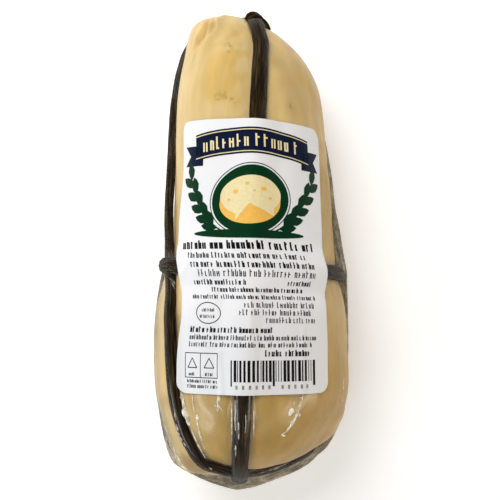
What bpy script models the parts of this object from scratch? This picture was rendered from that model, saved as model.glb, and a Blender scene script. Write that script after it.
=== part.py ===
"""Smoked provola, tied with cord, sealed in clear film and labelled.

The cheese lies along Y on its back, label side up, wide foot end towards -Y
and the knotted head towards +Y. The origin is under the middle, on the table.
All lengths below are millimetres until they reach Blender.
"""
import math

import bmesh
import bpy
from mathutils import Vector

MM = 0.001

# Stations of the cheese from the foot to the head: place along Y, half width,
# sideways shift of the middle, and rise of the belly above the table.
STATIONS = (
    (-88.7, 0.0, -4.4, 32.4),
    (-86.9, 15.5, -9.5, 18.3),
    (-84.2, 21.9, -6.9, 13.1),
    (-80.2, 26.8, -3.8, 8.7),
    (-74.3, 31.05, -1.85, 5.0),
    (-66.3, 34.9, -0.5, 1.9),
    (-56.2, 37.8, 0.2, 0.2),
    (-40.3, 38.3, 0.1, 0.0),
    (-25.5, 37.8, 0.0, 0.0),
    (-12.5, 35.3, 0.3, 0.0),
    (1.5, 33.1, 0.7, 0.0),
    (19.5, 31.95, 0.15, 0.0),
    (39.5, 31.2, -0.5, 0.0),
    (57.4, 29.9, -1.15, 0.0),
    (67.5, 28.3, -1.5, 0.9),
    (78.3, 24.5, -3.2, 4.9),
    (86.5, 19.8, -6.4, 10.1),
    (91.5, 14.2, -9.6, 16.3),
    (92.9, 10.6, -8.2, 20.6),
    (93.4, 0.0, 0.6, 31.7),
)
FOOT_FLATNESS = 0.915   # height of a section over its width, at the foot
HEAD_FLATNESS = 0.985   # the same at the head
FLATNESS_REACH = 58.0   # where along Y each of the two is reached
SETTLE = 1.7            # how far the soft belly is pressed flat by the table
RINGS = 38
SEGMENTS = 40

# One flattened cord, tied as a loop front to back, a loop round the sides and
# a girth.
CORD_HALF_WIDTH = 2.8
CORD_HALF_THICKNESS = 1.85
CORD_SIDES = 8
CORD_STEP = 6.5         # length of one straight facet of the cord
CORD_LIFT = 0.4         # cord's middle above the surface it has sunk into
CORD_FLOOR = 1.7        # cord's middle above the table, where it is squashed
FRONT_FOOT_LIFT = 1.9   # lift of the front loop where it crosses at the foot
SIDE_FOOT_LIFT = -0.3   # lift of the side loop there, pressed in by the front
FOOT_REACH = 0.07       # share of the outline over which the two change
GIRTH_CROSSING = 3.0    # lift of the girth where it crosses the side loop
CROSSING_REACH = 21.0   # degrees round the cheese over which it climbs
GIRTH_DIP = 0.9         # how far the girth presses the front cord in
GIRTH_Y = -8.7          # place of the girth along Y
GIRTH_SLANT = 1.6       # the girth's right side is this much nearer the foot
CLEARANCE = 0.3

# The side runs: place along Y and degrees above the cheese's middle.
LEFT_RUN = (
    (-88.7, 62.0), (-84.5, 59.0), (-80.5, 54.0), (-76.5, 49.0), (-69.5, 44.5),
    (-61.5, 42.0), (-54.5, 41.0), (-46.5, 40.0), (-31.5, 39.0), (-20.5, 36.0),
    (-13.1, 31.0), (-6.5, 25.0), (-1.2, 20.5), (7.5, 15.0), (24.5, 5.0),
    (61.5, -5.0), (71.5, -12.0), (79.5, -26.0), (87.5, -42.0), (93.4, -60.0),
)
RIGHT_RUN = (
    (-88.7, 8.0), (-84.5, -3.0), (-80.5, -14.0), (-75.5, -24.0),
    (-68.5, -28.0), (93.4, -28.0),
)

# The knot: rings of cord on the rim of the head, and one short tail.
KNOT_MAJOR = 1.7
KNOT_MINOR = 1.6
KNOT_RINGS = (                  # middle, tips over X and Z in degrees
    ((0.9, 91.6, 39.6), (52.0, -8.0)),
    ((1.9, 90.3, 40.6), (62.0, 24.0)),
)
KNOT_CORE = 2.7
TAIL_RADIUS = 1.4
TAIL_PATH = ((2.4, 91.6, 40.6), (4.6, 90.9, 40.0), (6.2, 89.3, 39.0),
             (7.0, 87.4, 38.2))

# The seal: a flat hem of film round the foot and up both sides.
HEM_THICKNESS = 1.2
HEM_HEIGHT = 30.5
HEM_OUTLINE = (
    (-29.0, 3.5), (-35.2, -6.5), (-36.8, -14.5), (-37.8, -20.5),
    (-38.5, -28.5), (-38.7, -43.5), (-38.4, -52.5), (-37.3, -60.8),
    (-36.1, -68.1), (-34.5, -75.9), (-32.7, -81.5), (-30.6, -85.1),
    (-26.4, -87.7), (-20.1, -90.9), (-13.4, -93.4), (-5.5, -95.5),
    (1.0, -94.5), (4.9, -93.2), (11.0, -90.9), (16.0, -88.9), (20.9, -86.5),
    (24.3, -84.1), (26.1, -82.1), (29.6, -79.4), (32.8, -74.7), (35.3, -69.5),
    (37.0, -64.5), (38.2, -58.5), (38.8, -50.5), (38.9, -34.5), (38.7, -18.5),
    (38.6, -8.5), (37.4, -2.5), (35.9, 7.5), (34.0, 17.5), (32.8, 29.5),
    (31.2, 39.5), (29.0, 51.5), (20.0, 53.5), (0.0, 41.5),
)

# The paper label, curved over the cords on the front.
LABEL_WIDTH = 63.0
LABEL_LENGTH = 102.5
LABEL_Y = -5.2
LABEL_TURN = 1.4        # degrees round the cheese from the middle
LABEL_SKEW = 0.025      # slope of its rows across the cheese
LABEL_FAN = 0.0005      # how much more they slope, per millimetre to the head
LABEL_CORNER = 4.0
LABEL_THICKNESS = 0.35
LABEL_GAP = 0.4         # label above the film, away from the cords
LABEL_RIDGE = 3.5       # label above the film, over a cord
LABEL_TENT = 11.0       # half width of the tent that a cord makes
LABEL_SIDE_TENT = 8.0   # the same beside the side run, which its edge touches
LABEL_COLUMNS = 16
LABEL_ROWS = 26


def clamp(value, low, high):
    """Keep a value between two limits."""
    return min(max(value, low), high)


def station_marks():
    """Give each station its distance along the outline of the cheese."""
    marks = [0.0]
    for before, after in zip(STATIONS, STATIONS[1:]):
        step = math.hypot(after[0] - before[0], after[1] - before[1])
        marks.append(marks[-1] + step)
    return marks


MARKS = station_marks()


def mirrored(station):
    """Reflect a station through the axis, to round off an end."""
    return (station[0], -station[1], station[2], station[3])


def profile(share):
    """Y, half width, shift and rise at a share of the outline from the foot."""
    distance = clamp(share, 0.0, 1.0) * MARKS[-1]
    last = len(STATIONS) - 2
    index = 0
    while index < last and MARKS[index + 1] < distance:
        index += 1
    start = STATIONS[index]
    end = STATIONS[index + 1]
    span = MARKS[index + 1] - MARKS[index]
    if index > 0:
        before = STATIONS[index - 1]
        span_before = MARKS[index] - MARKS[index - 1]
    else:
        before = mirrored(end)
        span_before = span
    if index < last:
        after = STATIONS[index + 2]
        span_after = MARKS[index + 2] - MARKS[index + 1]
    else:
        after = mirrored(start)
        span_after = span
    t = (distance - MARKS[index]) / span
    values = []
    for a, b, c, d in zip(before, start, end, after):
        slope_b = (c - a) / (span_before + span) * span
        slope_c = (d - b) / (span + span_after) * span
        values.append(
            b * (2 * t ** 3 - 3 * t ** 2 + 1)
            + slope_b * (t ** 3 - 2 * t ** 2 + t)
            + c * (3 * t ** 2 - 2 * t ** 3)
            + slope_c * (t ** 3 - t ** 2)
        )
    return values


def share_at(y):
    """Share of the outline at which the cheese reaches a place along Y."""
    low = 0.0
    high = 1.0
    for _ in range(40):
        middle = (low + high) / 2
        if profile(middle)[0] < y:
            low = middle
        else:
            high = middle
    return (low + high) / 2


def flatness(y):
    """Height of a section over its width, at a place along Y."""
    t = clamp((y + FLATNESS_REACH) / (2 * FLATNESS_REACH), 0.0, 1.0)
    return FOOT_FLATNESS + (HEAD_FLATNESS - FOOT_FLATNESS) * t


def surface(share, turn):
    """Point of the cheese's skin; turn is 0 at the top, positive to +X."""
    y, half, shift, rise = profile(share)
    x = shift + half * math.sin(turn)
    z = flatness(y) * half * (1 + math.cos(turn)) - SETTLE + rise
    return Vector((x, y, max(z, 0.0)))


def outward(point):
    """Direction away from the middle of the cheese."""
    middle = Vector((-0.7, clamp(point.y, -58.5, 75.5), 30.8))
    return (point - middle).normalized()


def bump(distance, reach):
    """One at a distance of nothing, falling smoothly to nothing at reach."""
    share = min(abs(distance) / reach, 1.0)
    return (1 + math.cos(math.pi * share)) / 2


def front_x(y):
    """Sideways place of the front cord."""
    foot = STATIONS[0]
    head = STATIONS[-1]
    shoulder_y = 78.5
    shoulder_x = 3.3
    if y > shoulder_y:
        t = (y - shoulder_y) / (head[0] - shoulder_y)
        return shoulder_x + (head[2] - shoulder_x) * t
    t = (y - foot[0]) / (shoulder_y - foot[0])
    return foot[2] + (shoulder_x - foot[2]) * t


def turn_for_x(share, x):
    """Turn at which the upper half of a section reaches a sideways place."""
    _, half, shift, _ = profile(share)
    if half < 0.01:
        return 0.0
    return math.asin(clamp((x - shift) / half, -0.98, 0.98))


def girth_y(turn):
    """Place of the girth along Y at a turn."""
    return GIRTH_Y - GIRTH_SLANT * math.sin(turn)


def raised(run, y):
    """Degrees of a side run above the middle, at a place along Y."""
    for (start, first), (end, second) in zip(run, run[1:]):
        if y <= end:
            t = clamp((y - start) / (end - start), 0.0, 1.0)
            return first + (second - first) * t
    return run[-1][1]


def side_turns(share):
    """Turns of the side loop's left and right runs."""
    y = profile(share)[0]
    left = math.radians(raised(LEFT_RUN, y) - 90)
    right = math.radians(90 - raised(RIGHT_RUN, y))
    return left, right


def lay(share, turn, lift):
    """Middle of the cord, laid on the cheese with the given lift."""
    point = surface(share, turn)
    point += outward(point) * lift
    point.z = max(point.z, CORD_FLOOR)
    return point


def lengthwise(turn_of, lift_of):
    """Fine points of a run of cord from the foot to the head."""
    count = 240
    points = []
    for index in range(count + 1):
        share = index / count
        points.append(lay(share, turn_of(share), lift_of(share)))
    return points


def foot_lift(share, crossing):
    """Lift of a lengthwise run, with another one where it meets the foot."""
    return CORD_LIFT + (crossing - CORD_LIFT) * bump(share, FOOT_REACH)


def front_lift(share):
    """Lift of the front cord: over the side loop, under the girth."""
    y = profile(share)[0]
    dip = GIRTH_DIP * bump(y - GIRTH_Y, 16.0)
    return foot_lift(share, FRONT_FOOT_LIFT) - dip


def even(points, step, closed):
    """Space the points of a path evenly."""
    if closed:
        points = points + [points[0]]
    marks = [0.0]
    for before, after in zip(points, points[1:]):
        marks.append(marks[-1] + (after - before).length)
    count = max(int(round(marks[-1] / step)), 3)
    result = []
    index = 0
    for number in range(count if closed else count + 1):
        distance = marks[-1] * number / count
        while index < len(points) - 2 and marks[index + 1] < distance:
            index += 1
        span = marks[index + 1] - marks[index]
        t = (distance - marks[index]) / span if span > 0 else 0.0
        result.append(points[index].lerp(points[index + 1], clamp(t, 0.0, 1.0)))
    return result


def front_loop():
    """Closed path of the loop over the front and under the back."""
    up = lengthwise(lambda s: turn_for_x(s, front_x(profile(s)[0])), front_lift)
    down = lengthwise(
        lambda s: math.pi - turn_for_x(s, front_x(profile(s)[0])),
        lambda s: foot_lift(s, FRONT_FOOT_LIFT),
    )
    return up + down[-2:0:-1]


def side_loop():
    """Closed path of the loop round the sides."""
    runs = []
    for side in (0, 1):
        runs.append(lengthwise(
            lambda s: side_turns(s)[side],
            lambda s: foot_lift(s, SIDE_FOOT_LIFT)))
    return runs[0] + runs[1][-2:0:-1]


def girth_lift(turn):
    """Lift of the girth, which climbs over the side loop's two runs."""
    left, right = side_turns(share_at(girth_y(turn)))
    crossing = max(
        bump(math.degrees(turn - left), CROSSING_REACH),
        bump(math.degrees(turn - right), CROSSING_REACH),
    )
    return CORD_LIFT + (GIRTH_CROSSING - CORD_LIFT) * crossing


def girth_loop():
    """Closed path of the girth, over the other loops."""
    count = 180
    points = []
    for index in range(count):
        turn = math.tau * index / count - math.pi
        points.append(lay(share_at(girth_y(turn)), turn, girth_lift(turn)))
    return points


def material(name, colour, roughness):
    """Plain Principled material of one colour."""
    made = bpy.data.materials.new(name)
    made.use_nodes = True
    shader = made.node_tree.nodes["Principled BSDF"]
    shader.inputs["Base Color"].default_value = (*colour, 1.0)
    shader.inputs["Roughness"].default_value = roughness
    shader.inputs["Metallic"].default_value = 0.0
    made.diffuse_color = (*colour, 1.0)
    return made


def add_object(name, mesh, collection):
    """Put a mesh in the scene as an object."""
    made = bpy.data.objects.new(name, mesh)
    collection.objects.link(made)
    return made


def mesh_from_curve(name, curve_object, collection):
    """Turn a curve into a mesh whose caps are welded, and drop the curve."""
    bpy.context.view_layer.update()
    graph = bpy.context.evaluated_depsgraph_get()
    mesh = bpy.data.meshes.new_from_object(curve_object.evaluated_get(graph))
    mesh.name = name
    work = bmesh.new()
    work.from_mesh(mesh)
    bmesh.ops.remove_doubles(work, verts=work.verts, dist=0.00001)
    work.to_mesh(mesh)
    work.free()
    made = add_object(name, mesh, collection)
    made.matrix_world = curve_object.matrix_world.copy()
    bpy.data.objects.remove(curve_object)
    return made


def tube(name, points, half_width, half_thickness, closed, collection):
    """Sweep a flattened cord along points, its flat side to the cheese."""
    work = bmesh.new()
    rings = []
    last = len(points) - 1
    for index, point in enumerate(points):
        before = points[index - 1] if index > 0 or closed else point
        after = points[(index + 1) % len(points)] if index < last or closed else point
        tangent = (after - before).normalized()
        side = tangent.cross(outward(point)).normalized()
        up = side.cross(tangent)
        ring = []
        for number in range(CORD_SIDES):
            angle = math.tau * (number + 0.5) / CORD_SIDES
            place = (point + side * half_width * math.cos(angle)
                     + up * half_thickness * math.sin(angle))
            ring.append(work.verts.new(place * MM))
        rings.append(ring)
    pairs = list(zip(rings, rings[1:]))
    if closed:
        pairs.append((rings[-1], rings[0]))
    for start, end in pairs:
        for number in range(CORD_SIDES):
            other = (number + 1) % CORD_SIDES
            work.faces.new((start[number], start[other], end[other], end[number]))
    if not closed:
        work.faces.new(rings[0][::-1])
        work.faces.new(rings[-1])
    bmesh.ops.recalc_face_normals(work, faces=work.faces)
    mesh = bpy.data.meshes.new(name)
    work.to_mesh(mesh)
    work.free()
    return add_object(name, mesh, collection)


def press_flat(piece, height):
    """Press everything below a height up to it, as the table does."""
    for vertex in piece.data.vertices:
        vertex.co.z = max(vertex.co.z, height * MM)


def union(target, pieces, collection):
    """Join pieces to a target with one Boolean, then drop them."""
    for piece in pieces:
        for owner in list(piece.users_collection):
            owner.objects.unlink(piece)
        collection.objects.link(piece)
    joint = target.modifiers.new("Join", "BOOLEAN")
    joint.operation = "UNION"
    joint.operand_type = "COLLECTION"
    joint.collection = collection
    apply_modifiers(target)
    for piece in pieces:
        bpy.data.objects.remove(piece)


def apply_modifiers(target):
    """Replace an object's mesh by its evaluated one."""
    bpy.context.view_layer.update()
    graph = bpy.context.evaluated_depsgraph_get()
    mesh = bpy.data.meshes.new_from_object(target.evaluated_get(graph))
    mesh.name = target.name
    target.modifiers.clear()
    target.data = mesh


def make_cheese(collection):
    """Shape a sphere into the sealed cheese, pressed flat underneath."""
    mesh = bpy.data.meshes.new("vacuum_bag")
    work = bmesh.new()
    bmesh.ops.create_uvsphere(
        work, u_segments=SEGMENTS, v_segments=RINGS, radius=1.0)
    for vertex in work.verts:
        share = 0.5 - math.asin(clamp(-vertex.co.z, -1.0, 1.0)) / math.pi
        share = 1.0 - share
        turn = math.atan2(vertex.co.x, vertex.co.y)
        vertex.co = surface(share, turn) * MM
    bmesh.ops.recalc_face_normals(work, faces=work.faces)
    work.to_mesh(mesh)
    work.free()
    return add_object("vacuum_bag", mesh, collection)


def make_hem(collection):
    """Cut the hem of film from a flat outline."""
    curve = bpy.data.curves.new("hem", "CURVE")
    curve.dimensions = "2D"
    curve.fill_mode = "BOTH"
    curve.extrude = HEM_THICKNESS / 2 * MM
    spline = curve.splines.new("POLY")
    spline.points.add(len(HEM_OUTLINE) - 1)
    for place, (x, y) in zip(spline.points, HEM_OUTLINE):
        place.co = (x * MM, y * MM, 0.0, 1.0)
    spline.use_cyclic_u = True
    flat = add_object("hem", curve, collection)
    flat.location.z = HEM_HEIGHT * MM
    return mesh_from_curve("hem", flat, collection)


def knot_pieces(margin, collection):
    """Rings and cores of the knot, grown by a margin."""
    pieces = []
    for middle, (tip_x, tip_z) in KNOT_RINGS:
        place = Vector(middle) * MM
        bpy.ops.mesh.primitive_torus_add(
            major_segments=14, minor_segments=8,
            major_radius=KNOT_MAJOR * MM,
            minor_radius=(KNOT_MINOR + margin) * MM,
            location=place,
            rotation=(math.radians(tip_x), 0.0, math.radians(tip_z)))
        pieces.append(bpy.context.object)
        bpy.ops.mesh.primitive_uv_sphere_add(
            segments=12, ring_count=8, radius=(KNOT_CORE + margin) * MM,
            location=place)
        pieces.append(bpy.context.object)
    for piece in pieces:
        for owner in list(piece.users_collection):
            owner.objects.unlink(piece)
        collection.objects.link(piece)
    return pieces


def cord_pieces(margin, press, collection):
    """Pieces of the cord, or with a margin those of the channel round it."""
    pieces = []
    for name, path in (("front_run", front_loop()), ("side_run", side_loop()),
                       ("girth_run", girth_loop())):
        pieces.append(tube(
            name, even(path, CORD_STEP, True), CORD_HALF_WIDTH + margin,
            CORD_HALF_THICKNESS + margin, True, collection))
    tail = [Vector(point) for point in TAIL_PATH]
    tail[-1] += (tail[-1] - tail[-2]).normalized() * margin
    pieces.append(tube(
        "tail", tail, TAIL_RADIUS + margin, TAIL_RADIUS + margin, False,
        collection))
    for piece in pieces:
        press_flat(piece, press)
    return pieces + knot_pieces(margin, collection)


def label_lift(x, y, turn):
    """Height of the label above the film: it tents over the cords."""
    over_front = bump(x - front_x(y), LABEL_TENT)
    over_girth = bump(y - girth_y(turn), LABEL_TENT)
    share = share_at(y)
    aside = (turn - side_turns(share)[0]) * profile(share)[1]
    over_side = bump(aside, LABEL_SIDE_TENT)
    cover = 1 - (1 - over_front) * (1 - over_girth) * (1 - over_side)
    climb = (girth_lift(turn) - CORD_LIFT) * over_girth
    return LABEL_GAP + (LABEL_RIDGE - LABEL_GAP) * cover + climb


def make_label(collection):
    """Curve a sheet with rounded corners over the front."""
    mesh = bpy.data.meshes.new("label")
    work = bmesh.new()
    bmesh.ops.create_grid(
        work, x_segments=LABEL_COLUMNS, y_segments=LABEL_ROWS, size=1.0)
    for vertex in work.verts:
        along = vertex.co.y * LABEL_LENGTH / 2
        beyond = abs(along) - (LABEL_LENGTH / 2 - LABEL_CORNER)
        half = LABEL_WIDTH / 2
        if beyond > 0:
            beyond = min(beyond, LABEL_CORNER)
            half -= LABEL_CORNER - math.sqrt(LABEL_CORNER ** 2 - beyond ** 2)
        across = vertex.co.x * half
        y = LABEL_Y + along - (LABEL_SKEW + LABEL_FAN * along) * across
        share = share_at(y)
        half = profile(share)[1]
        turn = math.radians(LABEL_TURN) + across / half
        lift = label_lift(surface(share, turn).x, y, turn)
        turn = math.radians(LABEL_TURN) + across / (half + lift)
        point = surface(share, turn)
        point += outward(point) * label_lift(point.x, y, turn)
        vertex.co = point * MM
    bmesh.ops.recalc_face_normals(work, faces=work.faces)
    work.to_mesh(mesh)
    work.free()
    if mesh.polygons[0].normal.z < 0:
        mesh.flip_normals()
    sheet = add_object("label", mesh, collection)
    shell = sheet.modifiers.new("Paper", "SOLIDIFY")
    shell.thickness = LABEL_THICKNESS * MM
    shell.offset = 1.0
    return sheet


def finish(piece, look):
    """Give a piece its material and smooth shading."""
    piece.data.materials.clear()
    piece.data.materials.append(look)
    piece.data.shade_smooth()
    piece.data.set_sharp_from_angle(angle=math.radians(40))


def main():
    """Build the sealed cheese, its cord and its label."""
    for old in list(bpy.data.objects):
        bpy.data.objects.remove(old)
    scene_collection = bpy.context.scene.collection
    parts = bpy.data.collections.new("smoked_provola")
    cutters = bpy.data.collections.new("cutters")
    joined = bpy.data.collections.new("joined")
    for collection in (parts, cutters, joined):
        scene_collection.children.link(collection)

    bag = make_cheese(parts)
    union(bag, [make_hem(parts)], joined)
    channels = cord_pieces(CLEARANCE, -1.5, parts)
    channel = channels[0]
    union(channel, channels[1:], joined)
    parts.objects.unlink(channel)
    cutters.objects.link(channel)
    channel.name = "cord_channel"
    channel.hide_render = True
    channel.display_type = "WIRE"
    cut = bag.modifiers.new("Cord channel", "BOOLEAN")
    cut.operation = "DIFFERENCE"
    cut.object = channel
    cut.use_self = True

    runs = cord_pieces(0.0, 0.0, parts)
    cord = runs[0]
    cord.name = "cord"
    union(cord, runs[1:], joined)

    label = make_label(parts)

    finish(bag, material("filmed_rind", (0.66, 0.50, 0.26), 0.3))
    finish(cord, material("smoked_cord", (0.022, 0.014, 0.008), 0.7))
    finish(label, material("label_paper", (0.76, 0.74, 0.73), 0.5))


main()
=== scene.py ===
"""Dresses the smoked provola: rind, cord, clear film, hem, paper label and print."""
import math
from functools import lru_cache

import bmesh
import bpy
import numpy as np
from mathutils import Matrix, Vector, bvhtree, kdtree


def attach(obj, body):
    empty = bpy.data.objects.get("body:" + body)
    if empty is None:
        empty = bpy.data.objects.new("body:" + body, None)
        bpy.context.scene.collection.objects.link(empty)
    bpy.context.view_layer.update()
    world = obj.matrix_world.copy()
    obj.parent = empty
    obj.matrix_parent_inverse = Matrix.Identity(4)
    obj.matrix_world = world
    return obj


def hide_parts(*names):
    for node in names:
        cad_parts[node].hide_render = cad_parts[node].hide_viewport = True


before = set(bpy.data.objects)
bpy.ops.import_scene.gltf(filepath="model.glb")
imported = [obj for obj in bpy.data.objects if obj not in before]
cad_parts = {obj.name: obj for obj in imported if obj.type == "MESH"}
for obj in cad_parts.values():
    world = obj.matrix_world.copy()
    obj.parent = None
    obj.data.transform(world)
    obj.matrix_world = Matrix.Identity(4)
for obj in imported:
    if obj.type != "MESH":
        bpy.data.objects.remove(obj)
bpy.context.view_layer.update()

bl_info = {
    "name": "Smoked provola",
    "version": (1, 0, 0),
    "blender": (4, 5, 0),
    "location": "View3D > Sidebar > Provola",
    "description": "Models a smoked provola tied with cord, in film with a label",
    "category": "Add Mesh",
}

MM = 0.001

# Lengths of the form are in millimetres. Stations of the cheese from the foot
# to the head: place along Y, half width, sideways shift of the middle, and
# rise of the belly.
STATIONS = np.array((
    (-88.7, 0.0, -4.4, 32.4),
    (-86.9, 15.5, -9.5, 18.3),
    (-84.2, 21.9, -6.9, 13.1),
    (-80.2, 26.8, -3.8, 8.7),
    (-74.3, 31.05, -1.85, 5.0),
    (-66.3, 34.9, -0.5, 1.9),
    (-56.2, 37.8, 0.2, 0.2),
    (-40.3, 38.3, 0.1, 0.0),
    (-25.5, 37.8, 0.0, 0.0),
    (-12.5, 35.3, 0.3, 0.0),
    (1.5, 33.1, 0.7, 0.0),
    (19.5, 31.95, 0.15, 0.0),
    (39.5, 31.2, -0.5, 0.0),
    (57.4, 29.9, -1.15, 0.0),
    (67.5, 28.3, -1.5, 0.9),
    (78.3, 24.5, -3.2, 4.9),
    (86.5, 19.8, -6.4, 10.1),
    (91.5, 14.2, -9.6, 16.3),
    (92.9, 10.6, -8.2, 20.6),
    (93.4, 0.0, 0.6, 31.7),
))
# Height of a section over its width at the foot and at the head, how far from
# the middle it changes, and how far the belly has settled on the table.
FOOT_FLATNESS = 0.915
HEAD_FLATNESS = 0.985
FLATNESS_REACH = 58.0
SETTLE = 1.7
# The line inside the cheese that pieces are offset away from.
CORE_X = -0.7
CORE_Z = 30.8
CORE_ENDS = (-58.5, 75.5)

# The flattened cord: its size, how high it lies over the cheese, and where and
# how its loops cross.
CORD_HALF_WIDTH = 3.2
CORD_HALF_THICKNESS = 1.85
# Shares of that width and thickness that the front loop, the side loop and
# the girth have.
LOOP_SHARES = ((1.0, 1.0), (0.88, 1.0), (0.92, 1.0))
CORD_LIFT = 0.4
CORD_FLOOR = 1.9
FRONT_FOOT_LIFT = 1.9
FOOT_REACH = 0.07
GIRTH_CROSSING = 3.0
CROSSING_REACH = 21.0
GIRTH_DIP = 0.9
GIRTH_DIP_REACH = 16.0
GIRTH_Y = -8.7
GIRTH_SLANT = 1.6
WAIST_LIFT = 1.15
WAIST_Y = 9.0
WAIST_REACH = 34.0
KNOT_RADIUS = 1.75
KNOT_TURNS = 1.06

# The front run: place along Y and sideways.
FRONT_RUN = np.array(((-88.7, -4.4), (30.0, 1.4), (78.5, 3.8), (93.4, 1.0)))
# The side runs: place along Y and degrees above the cheese's middle.
LEFT_RUN = np.array((
    (-88.7, 62.0), (-84.5, 59.0), (-80.5, 54.0), (-76.5, 49.0), (-69.5, 44.5),
    (-61.5, 42.0), (-54.5, 41.0), (-46.5, 40.0), (-31.5, 39.0), (-20.5, 36.0),
    (-13.1, 31.0), (-6.5, 25.0), (-1.2, 20.5), (7.5, 15.0), (24.5, 5.0),
    (61.5, 0.0), (71.5, -1.0), (79.5, -8.0), (87.5, -26.0), (93.4, -50.0),
))
RIGHT_RUN = np.array((
    (-88.7, 8.0), (-84.5, -3.0), (-80.5, -14.0), (-75.5, -24.0),
    (-68.5, -28.0), (93.4, -28.0),
))

# How the side loop crosses the foot: share, degrees of turn and lift.
FOOT_CROSSING = np.array((
    (0.1704, -43.4, 0.4), (0.1549, -40.5, 0.4), (0.1382, -37.0, 0.4),
    (0.1244, -32.0, 0.35), (0.1155, -24.5, 0.2), (0.1113, -16.5, 0.0),
    (0.0970, -6.0, -0.3), (0.0840, 8.0, -0.5), (0.0765, 24.0, -0.5),
    (0.0745, 38.0, -0.4), (0.0765, 49.0, -0.4), (0.0835, 58.0, -0.4),
    (0.0925, 67.0, -0.5), (0.1035, 74.0, -0.7), (0.1155, 80.5, -0.8),
    (0.1280, 90.0, -0.6), (0.1420, 102.0, -0.1), (0.1600, 111.0, 0.3),
    (0.2000, 118.0, 0.4),
))

# Outline of the hem of film, seen from above.
HEM_OUTLINE = np.array((
    (-29.0, 3.5), (-35.2, -6.5), (-36.8, -14.5), (-37.8, -20.5),
    (-38.5, -28.5), (-38.7, -43.5), (-38.4, -52.5), (-37.3, -60.8),
    (-36.1, -68.1), (-34.5, -75.9), (-32.7, -81.5), (-30.6, -85.1),
    (-26.4, -87.7), (-20.1, -90.9), (-13.4, -93.4), (-5.5, -95.5),
    (1.0, -94.5), (4.9, -93.2), (11.0, -90.9), (16.0, -88.9), (20.9, -86.5),
    (24.3, -84.1), (26.1, -82.1), (29.6, -79.4), (32.8, -74.7), (35.3, -69.5),
    (37.0, -64.5), (38.2, -58.5), (38.8, -50.5), (38.9, -34.5), (38.7, -18.5),
    (38.6, -8.5), (37.4, -2.5), (35.9, 7.5), (34.0, 17.5), (32.8, 29.5),
    (31.2, 39.5), (29.0, 51.5),
))
HEM_HEIGHT = 30.5

# The label: its size, the place of its middle along Y, its turn round the
# cheese in degrees, and how its rows slant and how the slant grows along it.
LABEL_WIDTH = 63.0
LABEL_LENGTH = 101.4
LABEL_Y = -3.95
LABEL_TURN = 1.4
LABEL_SKEW = 0.025
LABEL_FAN = 0.0005


def linear(hex_colour):
    """Turn an sRGB hex colour into the linear one that shaders use."""
    values = []
    for index in (1, 3, 5):
        part = int(hex_colour[index:index + 2], 16) / 255
        if part <= 0.04045:
            values.append(part / 12.92)
        else:
            values.append(((part + 0.055) / 1.055) ** 2.4)
    return tuple(values)


# ---------------------------------------------------------------- the form

def station_marks():
    """Distance of each station along the outline of the cheese."""
    steps = np.hypot(np.diff(STATIONS[:, 0]), np.diff(STATIONS[:, 1]))
    return np.concatenate(([0.0], np.cumsum(steps)))


MARKS = station_marks()


def profile(share):
    """Y, half width, shift and rise at shares of the outline from the foot."""
    share = np.atleast_1d(np.asarray(share, float))
    distance = np.clip(share, 0.0, 1.0) * MARKS[-1]
    index = np.clip(np.searchsorted(MARKS, distance) - 1, 0, len(STATIONS) - 2)
    mirror = np.array((1.0, -1.0, 1.0, 1.0))
    wide = np.vstack((STATIONS[1] * mirror, STATIONS, STATIONS[-2] * mirror))
    marks = np.concatenate((
        [-MARKS[1]], MARKS, [2 * MARKS[-1] - MARKS[-2]]))
    before, start, end, after = (wide[index + k] for k in range(4))
    at = [marks[index + k] for k in range(4)]
    span = at[2] - at[1]
    t = ((distance - at[1]) / span)[:, None]
    slope_start = (end - before) / ((at[2] - at[0]) / span)[:, None]
    slope_end = (after - start) / ((at[3] - at[1]) / span)[:, None]
    return (
        start * (2 * t ** 3 - 3 * t ** 2 + 1)
        + slope_start * (t ** 3 - 2 * t ** 2 + t)
        + end * (3 * t ** 2 - 2 * t ** 3)
        + slope_end * (t ** 3 - t ** 2)
    )


SHARE_TABLE = np.linspace(0.0, 1.0, 4001)
Y_TABLE = np.maximum.accumulate(profile(SHARE_TABLE)[:, 0])


def share_at(y):
    """Share of the outline at which the cheese reaches a place along Y."""
    return np.interp(y, Y_TABLE, SHARE_TABLE)


def flatness(y):
    """Height of a section over its width."""
    share = ramp(y, -FLATNESS_REACH, FLATNESS_REACH)
    return FOOT_FLATNESS + (HEAD_FLATNESS - FOOT_FLATNESS) * share


def surface(share, turn):
    """Points of the sealed cheese; turn is 0 at the top, positive to +X."""
    y, half, shift, rise = profile(share).T
    x = shift + half * np.sin(turn)
    z = flatness(y) * half * (1 + np.cos(turn)) - SETTLE + rise
    return np.column_stack((x, y, np.maximum(z, 0.0)))


def outward(points):
    """Directions away from the line inside the cheese."""
    away = points - (CORE_X, 0.0, CORE_Z)
    away[:, 1] -= np.clip(points[:, 1], *CORE_ENDS)
    return away / np.linalg.norm(away, axis=1)[:, None]


def ramp(values, start, end):
    """Nothing up to the start, one from the end on, and straight between."""
    return np.clip((values - start) / (end - start), 0.0, 1.0)


def bump(distance, reach):
    """One at a distance of nothing, falling smoothly to nothing at reach."""
    share = np.minimum(np.abs(distance) / reach, 1.0)
    return (1 + np.cos(np.pi * share)) / 2


def waves(points, length, seed, stretch=(1.0, 1.0, 1.0)):
    """Smooth random height from -1 to 1, about one length from hump to hump."""
    summed, peak = 14, 3.2
    draw = np.random.default_rng(seed)
    total = np.zeros(len(points))
    scaled = points / (np.asarray(stretch) * length)
    for _ in range(summed):
        way = draw.normal(size=3)
        way *= draw.uniform(0.6, 1.3) / np.linalg.norm(way)
        total += np.sin(math.tau * (scaled @ way) + draw.uniform(0, math.tau))
    return total / peak


# ---------------------------------------------------------------- the cord

def front_x(y):
    """Sideways place of the front cord."""
    return np.interp(y, *FRONT_RUN.T)


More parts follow.
